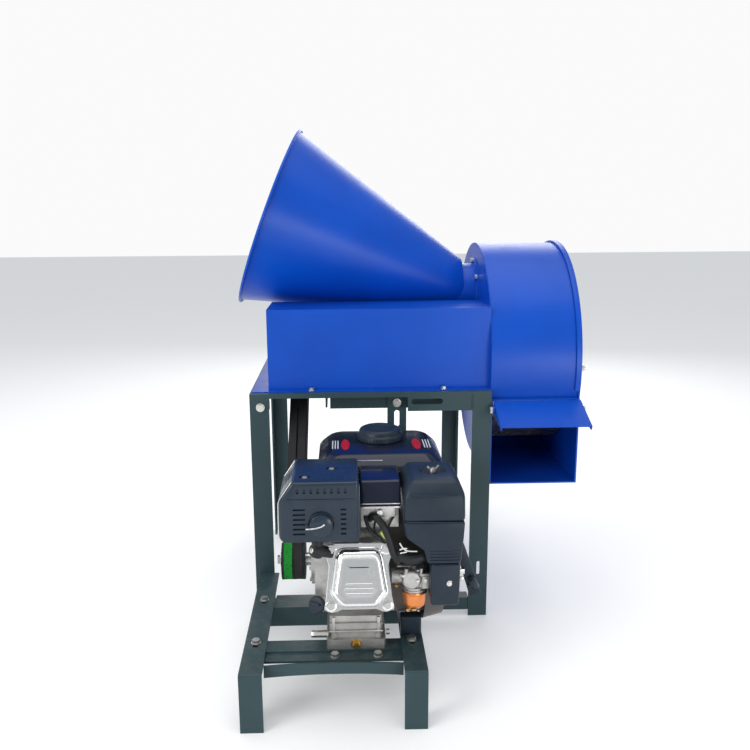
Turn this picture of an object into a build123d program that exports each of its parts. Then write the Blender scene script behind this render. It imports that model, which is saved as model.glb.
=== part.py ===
"""Hammer mill with a belt drive and a small petrol engine, in millimetres, +Z up.

The layout is drawn from the table's front left corner at floor level: X runs to the right along the
table, Y runs to the back. At the end every piece is moved so that the origin is the centre of the whole
mill's footprint, on the floor.
"""

from build123d import *
from math import acos, atan, cos, degrees, radians, sin, tan
import os

# ---- Driving dimensions -------------------------------------------------------------------------------

# Angle-iron table
table_width = 500.0
table_depth = 505.0
table_height = 505.0
angle_side = 40.0
angle_wall = 4.0
rail_lip = 6.0
apron_length = 174.0
apron_slot_length = 65.0
apron_slot_width = 12.0
lower_tie_height = 28.0
lower_tie_z = 15.0
leg_bolt_inset = 22.0
leg_bolt_drop = 28.0
leg_slot_length = 32.0
leg_slot_width = 7.0
leg_slot_z = 112.0

# Recessed stay bar and the slotted stay that hangs from it
stay_bar_length = 331.0
stay_bar_y = 30.0
stay_width = 40.0
stay_length = 170.0
stay_x = 305.0
stay_slot_width = 11.0
stay_slot_length = 36.0
stay_slot_drop = 16.0
stay_bolt_drop = 24.0

# Engine deck in front of the table
deck_left = 10.0
deck_width = 322.0
deck_length = 387.0
deck_height = 110.0
deck_bend_radius = 5.0
deck_tie_height = 22.0
deck_tie_bow = 5.0
deck_tie_setback = 36.0
deck_slot_length = 30.0
deck_slot_width = 10.0
front_bolt_y = -284.0
rear_bolt_y = -122.0
front_rail_depth = 64.0
front_rail_step = 3.0
front_rail_shelf = 37.0
front_rail_lip_bolt = 52.0
rear_rail_y = -147.0
switch_box_y = -257.0
switch_box_length = 22.0
switch_box_height = 36.0
engine_bolt_spacing = 76.0

# Mill casing
shaft_y = 259.0
bearing_centre_height = 42.9
drum_radius = 248.0
drum_width = 180.0
plate_wall = 4.0
shell_wall = 3.0
outlet_reach = 249.0
outlet_drop = 63.0
inlet_rise = 141.0
inlet_diameter = 118.0
cover_gap = 0.3
cover_wall = 3.0
cover_rim_depth = 8.0
cover_rim_wall = 3.5
cover_rim_gap = 1.5
cover_overhang = 5.0
hinge_x_inset = 14.0
hinge_y_offset = 15.0
hinge_pin_radius = 4.0
hinge_half_height = 50.0
knuckle_height = 35.0
knuckle_wall = 3.5
latch_radius = 4.0
latch_inset = 9.0
latch_lug_depth = 18.0
latch_reach = 12.0

# Outlet flap
flap_length = 92.0
flap_slope = 21.0
flap_wall = 2.0
flap_pivot_y = -10.0
flap_pivot_drop = 80.0
flap_pin_radius = 4.0
flap_rear = -16.0
flap_top = 11.0
flap_ear_radius = 8.4

# Sieve under the rotor
sieve_radius = 205.0
sieve_wall = 2.0
sieve_hole_radius = 6.0
sieve_rows = 7
sieve_columns = 15
sieve_end_angle = 13.0

# Hopper
mouth_diameter = 398.0
mouth_x = 32.0
mouth_z = 858.0
throat_x = 467.0
collar_diameter = 122.0
hopper_half_angle = 16.6
hopper_wall = 2.0
mouth_lip_length = 3.0
mouth_lip_height = 6.0
hopper_flange_diameter = 150.0
hopper_bolt_circle = 136.0
hopper_bolt_count = 6
hopper_bolt_start = 30.0
hopper_bolt_hole_radius = 3.3

# Drive guard on the table top
guard_left = 37.0
guard_front = 32.0
guard_height = 169.0
guard_deep = 148.0
guard_step_height = 101.0
guard_step_back = 352.0
guard_wall = 2.0
guard_front_flange = 20.0
guard_left_flange = 34.0
guard_screw_x = (127.0, 403.0)

# Belt drive
shaft_diameter = 30.0
belt_x = 96.0
belt_pitch = 19.0
belt_top_width = 16.0
belt_height = 11.0
groove_top_width = 17.0
groove_depth = 14.0
groove_half_angle = 19.0
pulley_width = 44.0
mill_pulley_radius = 50.0
engine_pulley_radius = 37.5
bearing_left_x = 180.0
bearing_right_x = 430.0
bearing_rail_width = 50.0
bearing_length = 165.0
bearing_width = 48.0
bearing_body_radius = 40.0
bearing_body_width = 34.0

# Rotor
rotor_disc_radius = 120.0
rotor_disc_wall = 6.0
rotor_disc_count = 4
rotor_disc_pitch = 42.0
rotor_hub_radius = 24.0
pin_circle_radius = 100.0
pin_radius = 8.0
pin_count = 4
hammer_length = 95.0
hammer_width = 40.0
hammer_wall = 4.0
hammer_plane_pitch = 8.0
spacer_radius = 12.0

# Engine
crank_y = -185.0
crank_height = 120.0
crank_radius = 12.5
cylinder_x = 216.0
cylinder_slope = 15.0
case_left = 138.0
case_width = 124.0
case_wall = 7.0
case_depth = 164.0
case_height = 158.0
case_rounding = 34.0
foot_front = -304.0
foot_back = -98.0
foot_height = 18.0
base_height = 60.0
cylinder_start = 95.0
cylinder_end = 150.0
head_end = 182.0
valve_cover_end = 208.0
valve_cover_width = 110.0
valve_cover_height = 112.0
muffler_left = 86.0
muffler_width = 131.0
muffler_front = -374.0
muffler_depth = 131.0
muffler_bottom = 340.0
muffler_top = 444.0
muffler_wall = 3.0
cleaner_left = 290.0
cleaner_width = 102.0
cleaner_bottom = 219.0
cleaner_seam = 297.0
cleaner_top = 440.0
tank_left = 145.0
tank_width = 232.0
tank_front = -235.0
tank_depth = 208.0
tank_bottom = 382.0
tank_height = 58.0
tank_wall = 2.5
cap_x = 263.0
cap_y = -110.0
cap_radius = 45.0
blower_left = 268.0
blower_width = 67.0
blower_radius = 98.0
recoil_radius = 112.0
recoil_depth = 36.0

fin_pitch = 9.0
fin_wall = 3.0
fin_width = 102.0
gasket = 0.5
flywheel_radius = 85.0
flywheel_web = 14.0
flywheel_hub_radius = 32.0
flywheel_fin_height = 26.0
grip_x = 424.0
grip_drop = 46.0
bowl_x = 312.0
bowl_y = -322.0
bowl_z = 189.0
bowl_height = 44.0
carb_top = 272.0
dip_x = 150.0
dip_y = -272.0
dip_z = 178.0
dip_neck_radius = 14.0
dip_cap_radius = 15.0
dip_plug_radius = 8.5
neck_radius = 24.0
neck_height = 8.0
cap_height = 22.0
muffler_outlet_x = 157.0
muffler_outlet_z = 377.0
muffler_outlet_radius = 20.0

# Hardware: across flats and head height of the bolts, and the hole for an M8 bolt
large_hex = 13.0
large_head = 5.5
small_hex = 10.0
small_head = 4.0
bolt_hole_radius = 4.5

# Fits
end_play = 0.2
pin_clearance = 0.05
running_clearance = 0.05
body_gap = 0.4

# ---- Positions that follow ----------------------------------------------------------------------------

shaft_z = table_height + bearing_centre_height
drum_left = table_width
shell_left = drum_left + plate_wall
shell_right = shell_left + drum_width
deck_right = deck_left + deck_width
rail_top = deck_height - angle_wall
crank_z = rail_top + crank_height
flap_pivot_z = shaft_z - flap_pivot_drop
inlet_z = shaft_z + inlet_rise
rotor_centre_x = shell_left + drum_width / 2
hinge_x = shell_right - hinge_x_inset
hinge_y = shaft_y + drum_radius + hinge_y_offset
hopper_slope = degrees(atan((mouth_z - inlet_z) / (throat_x - mouth_x)))

pieces = {}


def keep(name, part):
    """Labels a finished piece and keeps it for the export at the end."""
    part.label = name
    pieces[name] = part


def across(x, y, z):
    """A plane across the mill's shafts: its x is the mill's Y, its y is Z and its normal is +X."""
    return Plane(origin=(x, y, z), x_dir=(0, 1, 0), z_dir=(1, 0, 0))


def block(x0, x1, y0, y1, z0, z1, rounding=0.0):
    """A box from its two corners, with its upright edges rounded."""
    with BuildPart() as body:
        with BuildSketch(Plane.XY.offset(z0)):
            with Locations(((x0 + x1) / 2, (y0 + y1) / 2)):
                if rounding > 0:
                    RectangleRounded(x1 - x0, y1 - y0, rounding)
                else:
                    Rectangle(x1 - x0, y1 - y0)
        extrude(amount=z1 - z0)
    return body.part


def hex_bolt(plane, across_flats, head, washer_radius, shank_radius, grip, nut=True):
    """A hex bolt with washer and nut: the plane is the clamped face, its normal points to the head."""
    with BuildPart() as bolt:
        with BuildSketch(plane):
            Circle(washer_radius)
        extrude(amount=1.5)
        with BuildSketch(plane.offset(1.5)):
            RegularPolygon(across_flats / 2, 6, major_radius=False)
        extrude(amount=head)
        with BuildSketch(plane):
            Circle(shank_radius)
        extrude(amount=-(grip + head + 3))
        if nut:
            with BuildSketch(plane.offset(-grip)):
                RegularPolygon(across_flats / 2, 6, major_radius=False)
            extrude(amount=-head)
    return bolt.part


# ---- Angle-iron table ---------------------------------------------------------------------------------


def angle_bar(plane, length, side=angle_side):
    """An angle-iron bar: its outer corner is the plane's origin line, its flanges lie along x and y."""
    with BuildPart() as bar:
        with BuildSketch(plane):
            with BuildLine():
                Polyline(
                    (0, 0),
                    (side, 0),
                    (side, angle_wall),
                    (angle_wall, angle_wall),
                    (angle_wall, side),
                    (0, side),
                    close=True,
                )
            make_face()
        extrude(amount=length)
    return bar


def upright(name, corner, turn_dir, hole_plane=None, slot_plane=None):
    """A table leg: an upright angle bar under the top rails."""
    with BuildPart() as leg:
        add(angle_bar(Plane(origin=corner, x_dir=turn_dir, z_dir=(0, 0, 1)), table_height - angle_wall).part)
        if hole_plane:
            with BuildSketch(hole_plane):
                Circle(bolt_hole_radius)
            extrude(amount=-angle_wall, mode=Mode.SUBTRACT)
        if slot_plane:
            with BuildSketch(slot_plane):
                SlotOverall(leg_slot_length, leg_slot_width, rotation=90)
            extrude(amount=-angle_wall, mode=Mode.SUBTRACT)
    keep(name, leg.part)


front_face = Plane(origin=(0, 0, 0), x_dir=(1, 0, 0), z_dir=(0, -1, 0))
leg_bolt_point = (leg_bolt_inset, 0, table_height - leg_bolt_drop)
leg_bolt_plane = Plane(origin=leg_bolt_point, x_dir=(1, 0, 0), z_dir=(0, -1, 0))
leg_slot_plane = Plane(origin=(table_width - angle_side / 2, 0, leg_slot_z), x_dir=(1, 0, 0),
                       z_dir=(0, -1, 0))

upright("leg_front_left", (0, 0, 0), (1, 0, 0), hole_plane=leg_bolt_plane)
upright("leg_front_right", (table_width, 0, 0), (0, 1, 0), slot_plane=leg_slot_plane)
upright("leg_rear_right", (table_width, table_depth, 0), (-1, 0, 0))
upright("leg_rear_left", (0, table_depth, 0), (0, -1, 0))

# The front top rail is cut down to a lip at the left, where the belts pass, and keeps a slotted apron.
apron_left = table_width - apron_length
with BuildPart() as top_rail_front:
    add(block(0, table_width, 0, angle_side, table_height - angle_wall, table_height))
    add(block(angle_side, apron_left, 0, angle_wall, table_height - angle_wall - rail_lip,
              table_height - angle_wall))
    add(block(apron_left, table_width - angle_side, 0, angle_wall, table_height - angle_side,
              table_height - angle_wall))
    with BuildSketch(front_face):
        with Locations((apron_left + angle_side, table_height - angle_side / 2)):
            SlotOverall(apron_slot_length, apron_slot_width)
    extrude(amount=-angle_wall, mode=Mode.SUBTRACT)
    for screw_x in guard_screw_x:
        with BuildSketch(Plane.XY.offset(table_height)):
            with Locations((screw_x, guard_front - guard_front_flange / 2)):
                Circle(bolt_hole_radius - 1)
        extrude(amount=-angle_wall, mode=Mode.SUBTRACT)
keep("top_rail_front", top_rail_front.part)

with BuildPart() as top_rail_rear:
    add(block(0, table_width, table_depth - angle_side, table_depth, table_height - angle_wall,
              table_height))
    add(block(angle_side, table_width - angle_side, table_depth - angle_wall, table_depth,
              table_height - angle_side, table_height - angle_wall))
keep("top_rail_rear", top_rail_rear.part)

with BuildPart() as top_rails_side:
    rail_length = table_depth - 2 * angle_side
    left_plane = Plane(origin=(0, table_depth - angle_side, table_height), x_dir=(0, 0, -1),
                       z_dir=(0, -1, 0))
    right_plane = Plane(origin=(table_width, angle_side, table_height), x_dir=(0, 0, -1), z_dir=(0, 1, 0))
    add(angle_bar(left_plane, rail_length).part)
    add(angle_bar(right_plane, rail_length).part)
keep("top_rails_side", top_rails_side.part)

with BuildPart() as lower_ties:
    tie_top = lower_tie_z + lower_tie_height
    for tie_y, inner_y in ((0, angle_wall), (table_depth - angle_wall, table_depth - lower_tie_height)):
        add(block(angle_side, table_width - angle_side, tie_y, tie_y + angle_wall, lower_tie_z, tie_top))
        shelf_y = sorted((inner_y, inner_y + lower_tie_height - angle_wall))
        add(block(angle_side, table_width - angle_side, shelf_y[0], shelf_y[1], tie_top - angle_wall,
                  tie_top))
keep("lower_ties", lower_ties.part)

# The stay bar runs behind the apron to the right leg; the slotted stay hangs in front of it.
stay_bar_right = table_width - angle_wall
stay_bar_left = stay_bar_right - stay_bar_length
stay_bolt_z = table_height - angle_wall - stay_bolt_drop
with BuildPart() as stay_bar:
    add(block(stay_bar_left, stay_bar_right, stay_bar_y, stay_bar_y + angle_wall,
              table_height - angle_side, table_height - angle_wall))
    with BuildSketch(Plane(origin=(stay_x, stay_bar_y, stay_bolt_z), x_dir=(1, 0, 0), z_dir=(0, -1, 0))):
        Circle(bolt_hole_radius)
    extrude(amount=-angle_wall, mode=Mode.SUBTRACT)
keep("stay_bar", stay_bar.part)

stay_top = table_height - angle_wall - 2
with BuildPart() as hanging_stay:
    add(block(stay_x - stay_width / 2, stay_x + stay_width / 2, stay_bar_y - angle_wall, stay_bar_y,
              stay_top - stay_length, stay_top))
    with BuildSketch(Plane(origin=(stay_x, stay_bar_y - angle_wall, stay_bolt_z), x_dir=(1, 0, 0),
                           z_dir=(0, -1, 0))):
        Circle(bolt_hole_radius)
        with Locations((0, -stay_slot_drop - stay_slot_length / 2)):
            SlotOverall(stay_slot_length, stay_slot_width, rotation=90)
    extrude(amount=-angle_wall, mode=Mode.SUBTRACT)
keep("hanging_stay", hanging_stay.part)

# Two bearing rails cross the table from front to back, their tops flush with the table top.
with BuildPart() as bearing_rails:
    for rail_x in (bearing_left_x, bearing_right_x):
        left = rail_x - bearing_rail_width / 2
        add(block(left, left + bearing_rail_width, angle_side, table_depth - angle_side,
                  table_height - angle_wall, table_height))
        add(block(left, left + angle_wall, angle_side, table_depth - angle_side,
                  table_height - angle_side, table_height - angle_wall))
keep("bearing_rails", bearing_rails.part)

# ---- Engine deck --------------------------------------------------------------------------------------


def deck_side(name, outer_x, inward):
    """One side of the deck: an angle bar bent down at the front into a leg, with slots for the rails."""
    inner_x = outer_x + inward * angle_side
    web_x = outer_x + inward * angle_wall
    low, high = sorted((outer_x, inner_x))
    web = sorted((outer_x, web_x))
    with BuildPart() as side:
        add(block(low, high, -deck_length, 0, rail_top, deck_height))
        add(block(low, high, -deck_length, -deck_length + angle_wall, 0, rail_top))
        add(block(web[0], web[1], -deck_length, 0, deck_height - angle_side, rail_top))
        add(block(web[0], web[1], -deck_length, -deck_length + angle_side, 0, deck_height - angle_side))
        bend = side.edges().filter_by(Axis.X).group_by(Axis.Z)[-1].sort_by(Axis.Y)[0]
        fillet(bend, deck_bend_radius)
        for slot_y in (front_bolt_y, rear_bolt_y):
            with BuildSketch(Plane.XY.offset(deck_height)):
                with Locations(((low + high) / 2, slot_y)):
                    SlotOverall(deck_slot_length, deck_slot_width, rotation=90)
            extrude(amount=-angle_wall, mode=Mode.SUBTRACT)
    keep(name, side.part)


deck_side("deck_side_left", deck_left, 1)
deck_side("deck_side_right", deck_right, -1)

# The right side has no table leg behind it, so a post on the lower tie carries its rear end.
with BuildPart() as deck_post:
    add(block(deck_right - angle_side, deck_right - angle_wall, -angle_wall, 0, 0, rail_top))
keep("deck_post", deck_post.part)

# The front tie is a flat bar that bows up a little in the middle.
tie_left = deck_left + angle_side
tie_right = deck_right - angle_side
with BuildPart() as deck_front_tie:
    with BuildSketch(Plane(origin=(0, -deck_length + deck_tie_setback, 0), x_dir=(1, 0, 0), z_dir=(0, -1, 0))):
        with BuildLine():
            middle = (tie_left + tie_right) / 2
            low_z = rail_top - deck_tie_height
            ThreePointArc((tie_left, low_z), (middle, low_z + deck_tie_bow), (tie_right, low_z))
            Line((tie_right, low_z), (tie_right, rail_top))
            ThreePointArc((tie_right, rail_top), (middle, rail_top + deck_tie_bow - 1), (tie_left, rail_top))
            Line((tie_left, rail_top), (tie_left, low_z))
        make_face()
    extrude(amount=angle_wall)
keep("deck_front_tie", deck_front_tie.part)

# Engine rails lie under the deck sides' top flanges. The front one is a folded rail with a low front lip.
rail_left = deck_left + angle_wall
rail_right = deck_right - angle_wall
front_rail_back = front_bolt_y + 13
foot_x = cylinder_x - 5
engine_bolt_x = (foot_x - engine_bolt_spacing / 2, foot_x + engine_bolt_spacing / 2)
lip_bolt_y = front_rail_back - front_rail_lip_bolt


def rail_bolt_holes(top_z, hole_y):
    """The bolt holes through a rail, under each deck side and under each engine foot."""
    side_holes = [(deck_left + angle_side / 2, hole_y[0]), (deck_right - angle_side / 2, hole_y[0])]
    foot_holes = [(x, hole_y[1]) for x in engine_bolt_x]
    with BuildPart() as holes:
        with BuildSketch(Plane.XY.offset(top_z)):
            with Locations(*side_holes, *foot_holes):
                Circle(bolt_hole_radius)
        extrude(amount=-angle_wall - 4)
    return holes.part


with BuildPart() as engine_rail_front:
    with BuildSketch(across(rail_left, 0, 0)):
        with BuildLine():
            Polyline(
                (front_rail_back, rail_top),
                (front_rail_back - front_rail_shelf, rail_top),
                (front_rail_back - front_rail_shelf, rail_top - front_rail_step),
                (front_rail_back - front_rail_depth, rail_top - front_rail_step),
                (front_rail_back - front_rail_depth, rail_top - front_rail_step - angle_wall),
                (front_rail_back - angle_wall, rail_top - front_rail_step - angle_wall),
                (front_rail_back - angle_wall, rail_top - angle_side),
                (front_rail_back, rail_top - angle_side),
                close=True,
            )
        make_face()
    extrude(amount=rail_right - rail_left)
    add(rail_bolt_holes(rail_top, (front_bolt_y, lip_bolt_y)), mode=Mode.SUBTRACT)
keep("engine_rail_front", engine_rail_front.part)

with BuildPart() as engine_rail_rear:
    add(block(rail_left, rail_right, rear_rail_y, rear_rail_y + angle_side, rail_top - angle_wall, rail_top))
    add(block(rail_left, rail_right, rear_rail_y, rear_rail_y + angle_wall, rail_top - angle_side,
              rail_top - angle_wall))
    add(rail_bolt_holes(rail_top, (rear_bolt_y, rear_bolt_y)), mode=Mode.SUBTRACT)
keep("engine_rail_rear", engine_rail_rear.part)

# Frame hardware: leg bolt, stay bolt and deck bolts.
with BuildPart() as frame_bolts:
    add(hex_bolt(leg_bolt_plane, large_hex, large_head, 9, 4, angle_wall))
    stay_bolt_plane = Plane(origin=(stay_x, stay_bar_y - angle_wall, stay_bolt_z), x_dir=(1, 0, 0),
                            z_dir=(0, -1, 0))
    add(hex_bolt(stay_bolt_plane, large_hex, large_head, 9, 4, 2 * angle_wall))
    for bolt_x in (deck_left + angle_side / 2, deck_right - angle_side / 2):
        front_grip = 2 * angle_wall + front_rail_step
        for bolt_y, grip in ((front_bolt_y, front_grip), (rear_bolt_y, 2 * angle_wall)):
            add(hex_bolt(Plane.XY.offset(deck_height).move(Location((bolt_x, bolt_y, 0))), large_hex,
                         large_head, 9, 4, grip))
keep("frame_bolts", frame_bolts.part)

# A black switch box sits on the right deck side, beside the engine.
with BuildPart() as switch_box:
    box_half = switch_box_length / 2
    add(block(deck_right - angle_side + 1, deck_right - 1, switch_box_y - box_half, switch_box_y + box_half,
              deck_height, deck_height + switch_box_height, rounding=4))
    top_edges = switch_box.faces().sort_by(Axis.Z)[-1].edges()
    fillet(top_edges, 3)
keep("switch_box", switch_box.part)

# ---- Mill casing --------------------------------------------------------------------------------------


def casing_outline(radius):
    """The casing's outline about the shaft: a circle, with its lower front corner squared for the outlet."""
    with BuildSketch() as outline:
        Circle(radius)
        with BuildLine():
            Polyline((0, -drum_radius), (-outlet_reach, -drum_radius), (-outlet_reach, -outlet_drop),
                     (0, -outlet_drop), close=True)
        make_face()
    return outline.sketch


def flap_ear(x, wall, cut_radius):
    """A lug in front of the outlet that carries the flap's pivot bolt, low enough for the sheet to pass."""
    reach = shaft_y - flap_pivot_y
    front = -outlet_reach
    with BuildPart() as ear:
        with BuildSketch(across(x, shaft_y, shaft_z)):
            with Locations((-reach, -flap_pivot_drop)):
                Circle(flap_ear_radius)
            with BuildLine():
                Polyline(
                    (-reach, -flap_pivot_drop - flap_ear_radius),
                    (front + cut_radius, -flap_pivot_drop - flap_ear_radius),
                    (front + cut_radius, -outlet_drop),
                    (front, -outlet_drop),
                    (front - 2, -flap_pivot_drop + 5.5),
                    (-reach, -flap_pivot_drop + flap_ear_radius),
                    close=True,
                )
            make_face()
            with Locations((-reach, -flap_pivot_drop)):
                Circle(flap_pin_radius + pin_clearance, mode=Mode.SUBTRACT)
        extrude(amount=wall)
    return ear.part


with BuildPart() as drum_left_plate:
    with BuildSketch(across(drum_left, shaft_y, shaft_z)):
        add(casing_outline(drum_radius))
        Circle(shaft_diameter / 2 + 3, mode=Mode.SUBTRACT)
        with Locations((0, inlet_rise)):
            Circle(inlet_diameter / 2, mode=Mode.SUBTRACT)
            with PolarLocations(hopper_bolt_circle / 2, hopper_bolt_count, start_angle=hopper_bolt_start):
                Circle(hopper_bolt_hole_radius, mode=Mode.SUBTRACT)
    extrude(amount=plate_wall)
    add(flap_ear(drum_left, plate_wall, 6))
keep("drum_left_plate", drum_left_plate.part)

def ring_sector(plane, inner, outer, start, end, width):
    """A curved plate between two radii and two angles, extruded along the shaft."""
    with BuildPart() as sector:
        with BuildSketch(plane):
            with BuildLine():
                a = CenterArc((0, 0), outer, start, end - start)
                b = CenterArc((0, 0), inner, start, end - start)
                Line(a @ 0, b @ 0)
                Line(a @ 1, b @ 1)
            make_face()
        extrude(amount=width)
    return sector.part


latch_y = -(drum_radius - latch_inset)
sieve_start = 180 + sieve_end_angle
sieve_end = 360 - sieve_end_angle
with BuildPart() as drum_shell:
    with BuildSketch(across(shell_left, shaft_y, shaft_z)):
        add(casing_outline(drum_radius))
        Circle(drum_radius - shell_wall, mode=Mode.SUBTRACT)
        with BuildLine():
            inner_floor = drum_radius - shell_wall
            Polyline((0, -inner_floor), (-outlet_reach - 5, -inner_floor),
                     (-outlet_reach - 5, -outlet_drop - shell_wall),
                     (0, -outlet_drop - shell_wall), close=True)
        make_face(mode=Mode.SUBTRACT)
    extrude(amount=drum_width)
    # The lug inside the rim takes the cover's latch stud.
    lug_plane = across(shell_right - latch_lug_depth - 2, shaft_y, shaft_z)
    with BuildSketch(lug_plane):
        with Locations((latch_y, 0)):
            Rectangle(15, 16)
        Circle(drum_radius - shell_wall / 2, mode=Mode.INTERSECT)
    extrude(amount=latch_lug_depth)
    with BuildSketch(lug_plane):
        with Locations((latch_y, 0)):
            Circle(latch_radius + 1.2)
    extrude(amount=latch_lug_depth, mode=Mode.SUBTRACT)
    add(flap_ear(shell_right - shell_wall, shell_wall, 10))
    # The sieve's ends rest on two ledges.
    for start, end in ((sieve_start - 1.2, sieve_start + 3), (sieve_end - 3, sieve_end + 1.2)):
        add(ring_sector(across(shell_left, shaft_y, shaft_z), sieve_radius, sieve_radius + 3, start, end,
                        drum_width))
    for start in (sieve_start - 1.2, sieve_end):
        add(ring_sector(across(shell_left, shaft_y, shaft_z), sieve_radius, drum_radius - shell_wall / 2,
                        start, start + 1.2, drum_width))
keep("drum_shell", drum_shell.part)

# The round cover closes the right side; its rim laps over the shell, except over the outlet corner.
cover_left = shell_right + cover_gap
cover_radius = drum_radius + cover_overhang
with BuildPart() as drum_cover:
    with BuildSketch(across(cover_left, shaft_y, shaft_z)):
        add(casing_outline(cover_radius))
        with Locations((latch_y, 0)):
            Circle(latch_radius + pin_clearance, mode=Mode.SUBTRACT)
    extrude(amount=cover_wall)
    with BuildSketch(across(cover_left, shaft_y, shaft_z)):
        Circle(cover_radius)
        Circle(drum_radius + cover_rim_gap, mode=Mode.SUBTRACT)
        with Locations((-cover_radius / 2, -cover_radius / 2 - outlet_drop / 2 + 5)):
            Rectangle(cover_radius + 40, cover_radius - outlet_drop + 20, mode=Mode.SUBTRACT)
    extrude(amount=-cover_rim_depth)
    # Middle hinge knuckle and the arm that carries it round the back of the rim.
    knuckle_low = shaft_z - knuckle_height / 2
    knuckle_high = shaft_z + knuckle_height / 2
    knuckle_plane = Plane(origin=(hinge_x, hinge_y, knuckle_low), x_dir=(1, 0, 0), z_dir=(0, 0, 1))
    cover_face = cover_left + cover_wall
    add(block(cover_left, cover_face, shaft_y + cover_radius - 12, hinge_y + 5, knuckle_low, knuckle_high))
    add(block(hinge_x, cover_face, hinge_y - 5, hinge_y + 5, knuckle_low, knuckle_high))
    with BuildSketch(knuckle_plane):
        Circle(hinge_pin_radius + knuckle_wall)
    extrude(amount=knuckle_height)
    with BuildSketch(knuckle_plane):
        Circle(hinge_pin_radius + running_clearance)
    extrude(amount=knuckle_height, mode=Mode.SUBTRACT)
keep("drum_cover", drum_cover.part)

with BuildPart() as cover_latch:
    with BuildSketch(across(shell_right - 11, shaft_y + latch_y, shaft_z)):
        Circle(latch_radius)
    extrude(amount=11 + cover_gap + cover_wall + latch_reach)
    with BuildSketch(across(cover_left + cover_wall, shaft_y + latch_y, shaft_z)):
        Circle(9)
    extrude(amount=1.5)
    with BuildSketch(across(cover_left + cover_wall + 1.5, shaft_y + latch_y, shaft_z)):
        RegularPolygon(6.5, 6, major_radius=False)
    extrude(amount=6)
keep("cover_latch", cover_latch.part)

with BuildPart() as cover_hinge:
    for low_z in (shaft_z - hinge_half_height, shaft_z + 18):
        add(block(hinge_x - 6, hinge_x + 4, shaft_y + drum_radius - 14, hinge_y, low_z,
                  low_z + hinge_half_height - 18))
        with BuildSketch(Plane(origin=(hinge_x, hinge_y, low_z), z_dir=(0, 0, 1))):
            Circle(hinge_pin_radius + knuckle_wall)
        extrude(amount=hinge_half_height - 18)
    with BuildSketch(Plane(origin=(hinge_x, hinge_y, shaft_z - hinge_half_height - 3), z_dir=(0, 0, 1))):
        Circle(hinge_pin_radius)
    extrude(amount=2 * hinge_half_height + 6)
    with BuildSketch(across(shell_left, shaft_y, shaft_z)):
        Circle(drum_radius)
    extrude(amount=drum_width, mode=Mode.SUBTRACT)
keep("cover_hinge", cover_hinge.part)

# Sieve: a perforated half drum under the rotor, resting on the shell's two ledges.
sieve_left = shell_left + 2
sieve_width = drum_width - 4


with BuildPart() as sieve_screen:
    add(ring_sector(across(sieve_left, shaft_y, shaft_z), sieve_radius - sieve_wall, sieve_radius,
                    sieve_start, sieve_end, sieve_width))
    hole_planes = []
    for column in range(sieve_columns):
        hole_angle = sieve_start + (sieve_end - sieve_start) * (column + 0.5) / sieve_columns
        out = (0, cos(radians(hole_angle)), sin(radians(hole_angle)))
        for row in range(sieve_rows):
            hole_x = sieve_left + sieve_width * (row + 0.5) / sieve_rows
            start = (hole_x, shaft_y + out[1] * (sieve_radius - 10), shaft_z + out[2] * (sieve_radius - 10))
            hole_planes.append(Plane(origin=start, x_dir=(1, 0, 0), z_dir=out))
    with Locations(*hole_planes):
        Cylinder(sieve_hole_radius, 20, align=(Align.CENTER, Align.CENTER, Align.MIN), mode=Mode.SUBTRACT)
keep("sieve_screen", sieve_screen.part)

# Outlet flap: a sheet with turned-down sides that pivots on two bolts in front of the outlet.
slope = radians(flap_slope)
flap_left = shell_left + body_gap
flap_right = shell_right + body_gap + flap_wall


def flap_plane(x):
    """The flap's side plane at the pivot: x runs down along the sheet to its front edge."""
    return Plane(origin=(x, flap_pivot_y, flap_pivot_z), x_dir=(0, -cos(slope), -sin(slope)),
                 z_dir=(-1, 0, 0))


with BuildPart() as outlet_flap:
    with BuildSketch(flap_plane(flap_right)):
        with BuildLine():
            Polyline((flap_rear, flap_top), (flap_rear + flap_length, flap_top),
                     (flap_rear + flap_length, flap_top - flap_wall),
                     (flap_rear, flap_top - flap_wall), close=True)
        make_face()
    extrude(amount=flap_right - flap_left)
    for side_x in (flap_left + flap_wall, flap_right):
        with BuildSketch(flap_plane(side_x)):
            with BuildLine():
                Polyline((-11, flap_top), (-11, -9), (10, -9), (flap_rear + flap_length, flap_top - 9),
                         (flap_rear + flap_length, flap_top), close=True)
            make_face()
            Circle(flap_pin_radius + pin_clearance, mode=Mode.SUBTRACT)
        extrude(amount=flap_wall)
keep("outlet_flap", outlet_flap.part)

# ---- Hopper -------------------------------------------------------------------------------------------

tilt = radians(hopper_slope)
hopper_axis = Axis((mouth_x, shaft_y, mouth_z), (cos(tilt), 0, -sin(tilt)))
hopper_plane = Plane(origin=(mouth_x, shaft_y, mouth_z), x_dir=(cos(tilt), 0, -sin(tilt)), z_dir=(0, -1, 0))
cone_length = (throat_x + 12 - mouth_x) / cos(tilt)


def hopper_solid(shrink, collar_end):
    """The hopper's solid shape: a tilted cone cut upright at the throat, and a level collar."""
    mouth = mouth_diameter / 2 - shrink
    with BuildPart() as shape:
        with BuildSketch(hopper_plane):
            with BuildLine():
                far = mouth - cone_length * tan(radians(hopper_half_angle))
                Polyline((0, 0), (0, mouth), (cone_length, far), (cone_length, 0), close=True)
            make_face()
        revolve(axis=hopper_axis)
        split(bisect_by=across(throat_x, 0, 0), keep=Keep.BOTTOM)
        with BuildSketch(across(throat_x - 15, shaft_y, inlet_z)):
            Circle(collar_diameter / 2 - shrink)
        extrude(amount=collar_end - throat_x + 15)
    return shape.part


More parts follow.
